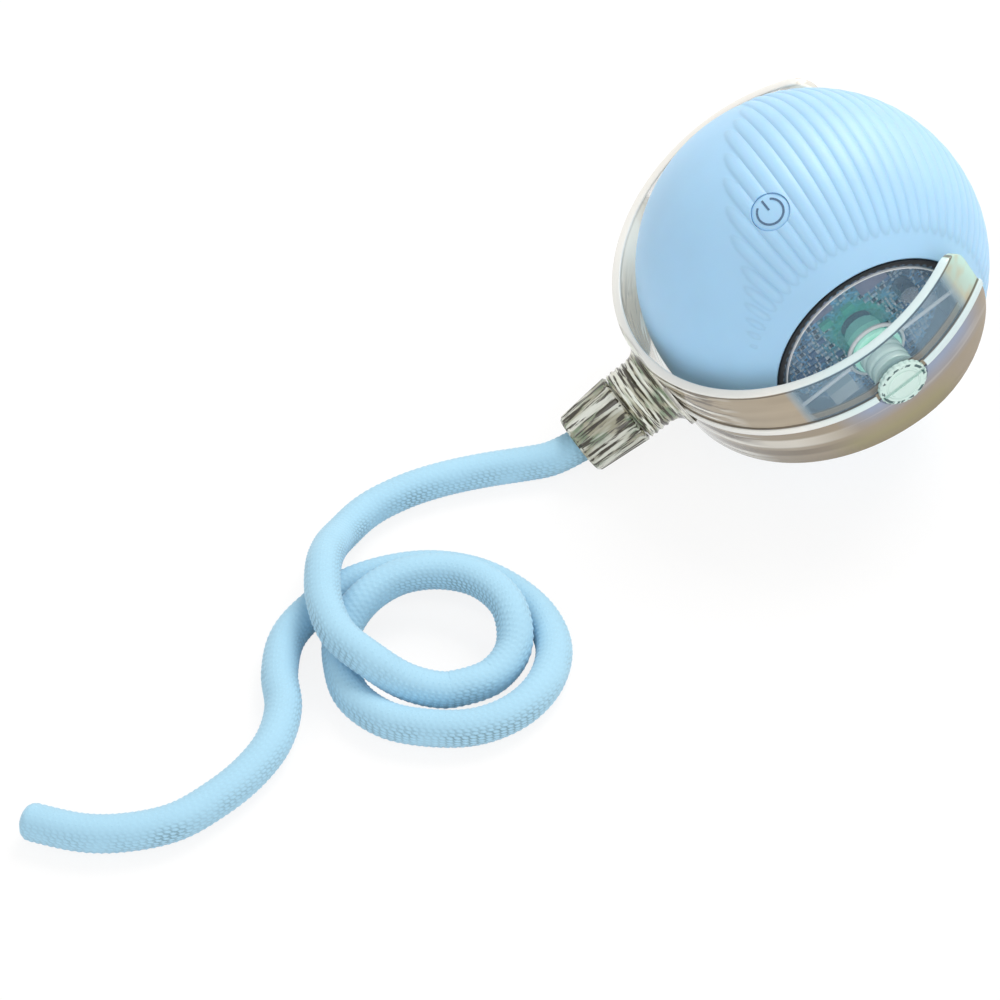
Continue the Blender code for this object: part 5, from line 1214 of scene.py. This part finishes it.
class CATBALL_OT_pivots(bpy.types.Operator):
    """Make the clear pivot pins and their slotted screws"""

    bl_idname = "cat_ball.pivots"
    bl_label = "Pivots"
    bl_options = {"REGISTER", "UNDO"}

    def execute(self, context):
        tint = tuple(context.scene.cat_ball_clear.pin)
        # Clear acrylic, turned and polished: glossy with a faint green tint and bright edges, and painted shade
        # where it is looked along
        pin_glass, _, _ = clear("turned clear acrylic", tint, linear("8fc4ba"), 0.05, 1.49, 1.0, 0.12)
        head_glass, add, shader = clear("polished clear acrylic", tint, linear("7fb0aa"), 0.06, 1.49, 1.0, 0.15)
        # Painted shade: dark dashes round its edge, for the knurl's notches and the thread under the head
        place = tilted_place(add)
        edge = PIN_HEAD_R / MM
        edge_ring = between(add, distance_from_line(add, place, (1, 0, 1)), edge - 0.75, edge - 0.35, 0.08)
        broken = add("MapRange", add("TexNoise", place, 1 / 1.1), 0.45, 0.52)
        dashes = add("Math", edge_ring, broken, operation="MULTIPLY")
        plain = shader.inputs["Base Color"].links[0].from_socket
        feed(shader, "Base Color", add("Mix", dashes, plain, linear("4b696b"), data_type="RGBA"))
        for side, axis in (("near", AXLE_NEAR), ("far", AXLE_FAR)):
            placing = TILTED @ towards(axis)
            hole = PIN_SCREW_R + GAP
            outline = [(0, SPIGOT_END), (SPIGOT_R, SPIGOT_END), (SPIGOT_R, PIN_SHOULDER), (PIN_R, PIN_SHOULDER)]
            for start in PIN_GROOVES:
                outline += [(PIN_R, start), (PIN_R - PIN_GROOVE, start + PIN_GROOVE)]
                outline += [(PIN_R - PIN_GROOVE, start + 0.55 * MM), (PIN_R, start + 0.8 * MM)]
            outline += [(PIN_R, PIN_FACE), (hole, PIN_FACE)]
            outline += [(hole, PIN_SCREW_BITE - GAP), (0, PIN_SCREW_BITE - GAP)]
            bm = bmesh.new()
            lathe(bm, outline, placing, 64, 0.1 * MM)
            carried(made(f"clear_pin_{side}", bm, pin_glass), "tether", "clear_pivot", f"pivot_pin_{side}")
            self.head(side, placing, head_glass)
        return {"FINISHED"}

    def head(self, side, placing, material):
        """A flat slotted head with a ring of small notches round its face."""
        outline = [(0, PIN_SCREW_BITE), (PIN_SCREW_R, PIN_SCREW_BITE), (PIN_SCREW_R, PIN_HEAD_SEAT)]
        outline += [(PIN_HEAD_R, PIN_HEAD_SEAT), (PIN_HEAD_R, PIN_HEAD_FACE - 0.25 * MM)]
        outline += [(PIN_HEAD_R - 0.25 * MM, PIN_HEAD_FACE), (HEAD_RING_R, PIN_HEAD_FACE)]
        outline += [(HEAD_RING_R - 0.1 * MM, PIN_HEAD_FACE - 0.12 * MM),
                    (HEAD_RING_INNER_R + 0.1 * MM, PIN_HEAD_FACE - 0.12 * MM)]
        outline += [(HEAD_RING_INNER_R, PIN_HEAD_FACE), (0, PIN_HEAD_FACE)]
        bm = bmesh.new()
        lathe(bm, outline, Matrix.Identity(4), HEAD_STEPS)
        for corner in bm.verts:
            radius = math.hypot(corner.co.x, corner.co.y)
            number = round(math.atan2(corner.co.y, corner.co.x) / math.tau * HEAD_STEPS)
            if radius > PIN_HEAD_R - 0.4 * MM and number % 4 == 0:
                corner.co.x *= HEAD_NOTCH
                corner.co.y *= HEAD_NOTCH
        bmesh.ops.recalc_face_normals(bm, faces=bm.faces)
        bmesh.ops.transform(bm, matrix=placing, verts=bm.verts)
        piece = made(f"slotted_head_{side}", bm, material)
        cut = bmesh.new()
        axis = (placing.to_3x3() @ Vector((0, 0, 1))).normalized()
        local = TILTED.to_3x3().inverted() @ axis
        brick(cut, SLOT_SIZE, local * PIN_HEAD_FACE, TILTED)
        combine(piece, "DIFFERENCE", cut)
        carried(piece, "tether", "clear_pivot", f"pivot_screw_{side}")


class CATBALL_OT_board(bpy.types.Operator):
    """Populate the circuit board behind the near window"""

    bl_idname = "cat_ball.board"
    bl_label = "Board parts"
    bl_options = {"REGISTER", "UNDO"}

    # What stands on the board already: (X, Z, half width, half height) in millimetres in the tilted frame
    TAKEN = ((6.1, 8.5, 3.2, 2.3), (-3.6, 10.2, 2.6, 2.3), (-8.5, -8.4, 2.9, 2.1), (-4.1, 5.6, 1.6, 1.2),
             (0.3, 5.6, 1.6, 1.2), (9.8, 1.8, 2.2, 2.2), (11.85, -5.1, 2.1, 2.1), (-10.3, 7.8, 2.1, 2.1))

    # Small parts: size in millimetres, material, and its colour and roughness
    KINDS = {
        "resistors": ((1.1, 0.4, 0.6), "fired resistor paste", "1b1f26", 0.35),
        "ceramics": ((1.0, 0.6, 0.6), "fired ceramic", "b4d2ea", 0.5),
        "packages": ((1.7, 0.6, 0.85), "moulded epoxy package", "5b7fb0", 0.45),
    }

    # The bodies of the two large chips, given in the same way
    CHIPS = ((6.1, 8.5, 2.7, 1.85), (-3.6, 10.2, 2.1, 1.8))

    # In millimetres: half a row's length, what the parts keep to and keep off, and the pitches of the solder
    # dots and of the chips' legs
    ROW_REACH = 15.0
    RIM_CLEAR = 14.6
    HUB_CLEAR = 5.4
    DOT_PITCH = 0.72
    LEG_PITCH = 0.65

    def execute(self, context):
        settings = context.scene.cat_ball_inside
        draw = random.Random(7)
        bodies = {kind: bmesh.new() for kind in self.KINDS}
        ends = bmesh.new()
        pitch = settings.part_pitch / MM
        rows = int(BOARD_R / MM / pitch)
        for row in range(-rows, rows + 1):
            z = row * pitch
            x = -self.ROW_REACH
            while x < self.ROW_REACH:
                kind = draw.choice(("resistors", "resistors", "ceramics", "ceramics", "packages"))
                size = self.KINDS[kind][0]
                x += size[0] + draw.choice((0.45, 0.5, 0.7, 1.3))
                if not self.free(x, z, size):
                    continue
                centre = Vector((x, -(BOARD_FACE / MM + size[1] / 2 + 0.02), z)) * MM
                brick(bodies[kind], Vector(size) * MM, centre, TILTED, 0.06 * MM)
                for way in (-1, 1):
                    tip = centre + Vector((way * (size[0] / 2 - 0.1), 0, 0)) * MM
                    cap = Vector((0.3, size[1] + 0.06, size[2] + 0.04)) * MM
                    brick(ends, cap, tip, TILTED, 0.05 * MM)
        for column in range(6):
            for row in range(12):
                x, z = 5.6 + self.DOT_PITCH * column, -6.0 + self.DOT_PITCH * row
                if draw.random() < 0.6 and self.free(x, z, (0.5, 0.5, 0.5)):
                    dot = Vector((x, -(BOARD_FACE / MM + 0.9), z)) * MM
                    brick(ends, Vector((0.45, 0.5, 0.4)) * MM, dot, TILTED, 0.12 * MM)
        for kind, bm in bodies.items():
            name, colour, roughness = self.KINDS[kind][1:]
            look = moulded(name, linear(colour), roughness, 0.2 * MM, 0.01 * MM)
            carried(made(f"board_{kind}", bm, look), "ball", "chip_package")
        tin = metal("tinned contact", linear("e6ebee"), 0.35, (1, 1, 1), 0.4 * MM)
        self.legs(ends)
        carried(made("board_contacts", ends, tin), "ball", "steel")
        return {"FINISHED"}

    def free(self, x, z, size):
        """Whether a part fits here, clear of the hub, the rim and what stands on the board."""
        reach = math.hypot(abs(x) + size[0] / 2, abs(z) + size[2] / 2)
        if reach > self.RIM_CLEAR or math.hypot(x, z) < self.HUB_CLEAR:
            return False
        return all(abs(x - cx) > w + size[0] / 2 or abs(z - cz) > h + size[2] / 2 for cx, cz, w, h in self.TAKEN)

    def legs(self, bm):
        """Rows of tinned legs along the two large chips."""
        for cx, cz, half_width, half_height in self.CHIPS:
            count = int(2 * half_width / self.LEG_PITCH)
            for i in range(count):
                x = cx - half_width + (i + 0.5) * 2 * half_width / count
                for way in (-1, 1):
                    centre = Vector((x, -(BOARD_FACE / MM + 0.25), cz + way * (half_height + 0.22))) * MM
                    brick(bm, Vector((0.28, 0.3, 0.5)) * MM, centre, TILTED, 0.05 * MM)


class CATBALL_OT_inside(bpy.types.Operator):
    """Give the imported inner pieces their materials"""

    bl_idname = "cat_ball.inside"
    bl_label = "Inner pieces"
    bl_options = {"REGISTER", "UNDO"}

    def execute(self, context):
        settings = context.scene.cat_ball_inside
        turned_line = (1, 0.05, 1)
        finishes = (
            (moulded("moulded ABS shell", linear("2c3644"), 0.5, 0.35 * MM, 0.02 * MM),
             ("core_half_near", "core_half_far")),
            (self.painted_glow_acetal(), ("bush_near", "bush_far")),
            (moulded("moulded nylon", linear("dcdcd2"), 0.5, 0.4 * MM, 0.01 * MM),
             ("chassis", "drive_gear", "battery_connector")),
            (metal("crimped brass", linear("c9a75c"), 0.35, turned_line, 0.2 * MM),
             ("rope_ferrule", "motor_pinion", "axle_bush")),
            (metal("zinc plated steel", linear("b9bcc0"), 0.35, turned_line, 0.2 * MM),
             ("shell_screw_1", "shell_screw_2", "shell_screw_3", "board_screw_1", "board_screw_2")),
            (metal("ground steel", linear("c8cacc"), 0.25, turned_line, 0.2 * MM),
             ("weight_axle", "motor_shaft", "axle_clip")),
            (metal("drawn steel can", linear("b0b3b7"), 0.3, (1, 1, 1), 0.6 * MM),
             ("motor", "charge_port", "capacitor")),
            (metal("die cast zinc", linear("8c9094"), 0.5, (1, 1, 1), 0.5 * MM), ("eccentric_weight",)),
            (moulded("moulded black nylon", linear("212327"), 0.5, 0.3 * MM, 0.01 * MM),
             ("tact_switch",)),
            (moulded("moulded epoxy chip", linear("8a83a0"), 0.42, 0.3 * MM, 0.01 * MM),
             ("controller_chip", "driver_chip")),
            (self.film(), ("battery",)),
            (self.laminate(tuple(settings.board)), ("main_board", "switch_board", "charge_board")),
            (self.lens(settings), ("status_light_1", "status_light_2")),
        )
        for material, names in finishes:
            for name in names:
                node = frame["nodes"][name]
                node.data.materials.clear()
                node.data.materials.append(material)
        return {"FINISHED"}

    def painted_glow_acetal(self):
        """Turned acetal beside the status lights: milky, with a painted green glow for the light that reaches it
        from them.
        """
        material = moulded("turned acetal", linear("cdeee4"), 0.38, 0.5 * MM, 0.005 * MM)
        shader = material.node_tree.nodes["Principled BSDF"]
        shader.inputs["Emission Color"].default_value = (*linear("7fe0c8"), 1)
        shader.inputs["Emission Strength"].default_value = 0.3
        return material

    def film(self):
        """Printed shrink film: thin, glossy, with fine creases along the cell."""
        colour = linear("5b6f8c")
        material, add, shader = finish("shrink film", colour, {"Roughness": 0.3, "Coat Weight": 0.4})
        place = add("TexCoord", out="Object")
        drawn = add("Mapping", place, Scale=(0.2, 1, 1))
        varied(add, shader, place, colour, scaled(colour, 0.85), 3 * MM)
        feed(shader, "Normal", add("Bump", Height=add("TexNoise", drawn, 1 / (0.8 * MM)), Distance=0.05 * MM))
        return material

    def laminate(self, colour):
        """Lacquered glass laminate: glossy, with copper tracks that show lighter through the lacquer."""
        values = {"Roughness": 0.35, "Coat Weight": 0.3, "Emission Color": (*linear("27b09a"), 1)}
        material, add, shader = finish("lacquered glass laminate", colour, values)
        place = tilted_place(add)
        # Tracks are about 0.25 mm wide and are drawn at 0.4 mm
        cells = add("TexVoronoi", place, 0.55, feature="DISTANCE_TO_EDGE")
        track = add("MapRange", cells, 0.10, 0.06)
        lighter = tuple(min(1.0, channel * 2.2 + 0.03) for channel in colour)
        # The lacquer is nearly black over the copper plane at the side away from the neck
        x, z = (add("SeparateXYZ", place, out=axis) for axis in "XZ")
        plane = add("Math", add("MapRange", x, 4.0, 9.0), add("MapRange", z, 1.0, 5.0), operation="MULTIPLY")
        plane = add("Math", plane, 0.9, operation="MULTIPLY")
        # Solder pads and vias stand in loose rows, 0.5 mm wide and drawn at 0.7 mm
        dots = add("TexVoronoi", place, 1.15, Randomness=0.6)
        dot = add("MapRange", dots, 0.42, 0.32)
        kind = add("SeparateColor", dots.node.outputs["Color"])
        pad = add("Math", dot, add("MapRange", kind, 0.55, 0.6), operation="MULTIPLY")
        via = add("Math", dot, add("MapRange", kind, 0.4, 0.35), operation="MULTIPLY")
        # The lights under the hub spill green over the lacquer near the axle
        reach = distance_from_line(add, place, (1, 0, 1))
        spill = add("MapRange", reach, 9.0, 4.0, 0.0, 0.75)
        green = add("Mix", add("MapRange", reach, 6.5, 4.5), linear("2a8fa6"), linear("1f9a70"), data_type="RGBA")
        for share, layer in ((track, lighter), (plane, linear("1c2230")), (pad, linear("cfe2ee")),
                             (via, linear("14283a")), (spill, green)):
            colour = add("Mix", share, colour, layer, data_type="RGBA")
        feed(shader, "Base Color", colour)
        feed(shader, "Emission Strength", add("MapRange", spill, 0, 1, 0.0, 0.3))
        feed(shader, "Normal", add("Bump", Height=track, Distance=0.03 * MM))
        return material

    def lens(self, settings):
        """Diffusing lens over a small lamp: milky green, and lit from inside."""
        colour = tuple(settings.glow)
        values = {"Roughness": 0.3, "Emission Color": (*colour, 1), "Emission Strength": settings.glow_strength}
        material, add, shader = finish("diffusing lens", colour, values)
        place = add("TexCoord", out="Object")
        varied(add, shader, place, colour, scaled(colour, 0.8), 0.5 * MM)
        return material


OPERATORS = (
    CATBALL_OT_stage,
    CATBALL_OT_rope,
    CATBALL_OT_sleeve,
    CATBALL_OT_button,
    CATBALL_OT_windows,
    CATBALL_OT_board,
    CATBALL_OT_yoke,
    CATBALL_OT_collar,
    CATBALL_OT_pivots,
    CATBALL_OT_inside,
)


class CATBALL_PT_panel(bpy.types.Panel):
    """The steps that build the cat ball"""

    bl_idname = "CATBALL_PT_panel"
    bl_label = "Cat Ball"
    bl_space_type = "VIEW_3D"
    bl_region_type = "UI"
    bl_category = "Cat Ball"

    def draw(self, context):
        for group in GROUPS:
            box = self.layout.box()
            settings = getattr(context.scene, group)
            for name in settings.bl_rna.properties.keys():
                if name not in ("name", "rna_type"):
                    box.prop(settings, name)
        for operator in OPERATORS:
            self.layout.operator(operator.bl_idname)


GROUPS = {
    "cat_ball_stage": CatBallStage,
    "cat_ball_rope": CatBallRope,
    "cat_ball_sleeve": CatBallSleeve,
    "cat_ball_clear": CatBallClear,
    "cat_ball_inside": CatBallInside,
}


def register():
    for group, kind in GROUPS.items():
        bpy.utils.register_class(kind)
        setattr(bpy.types.Scene, group, PointerProperty(type=kind))
    for kind in (*OPERATORS, CATBALL_PT_panel):
        bpy.utils.register_class(kind)


def unregister():
    for kind in (CATBALL_PT_panel, *reversed(OPERATORS)):
        bpy.utils.unregister_class(kind)
    for group, kind in reversed(GROUPS.items()):
        delattr(bpy.types.Scene, group)
        bpy.utils.unregister_class(kind)


def main():
    register()
    for operator in OPERATORS:
        name = operator.bl_idname.split(".")[1]
        getattr(bpy.ops.cat_ball, name)()


if __name__ == "__main__":
    main()
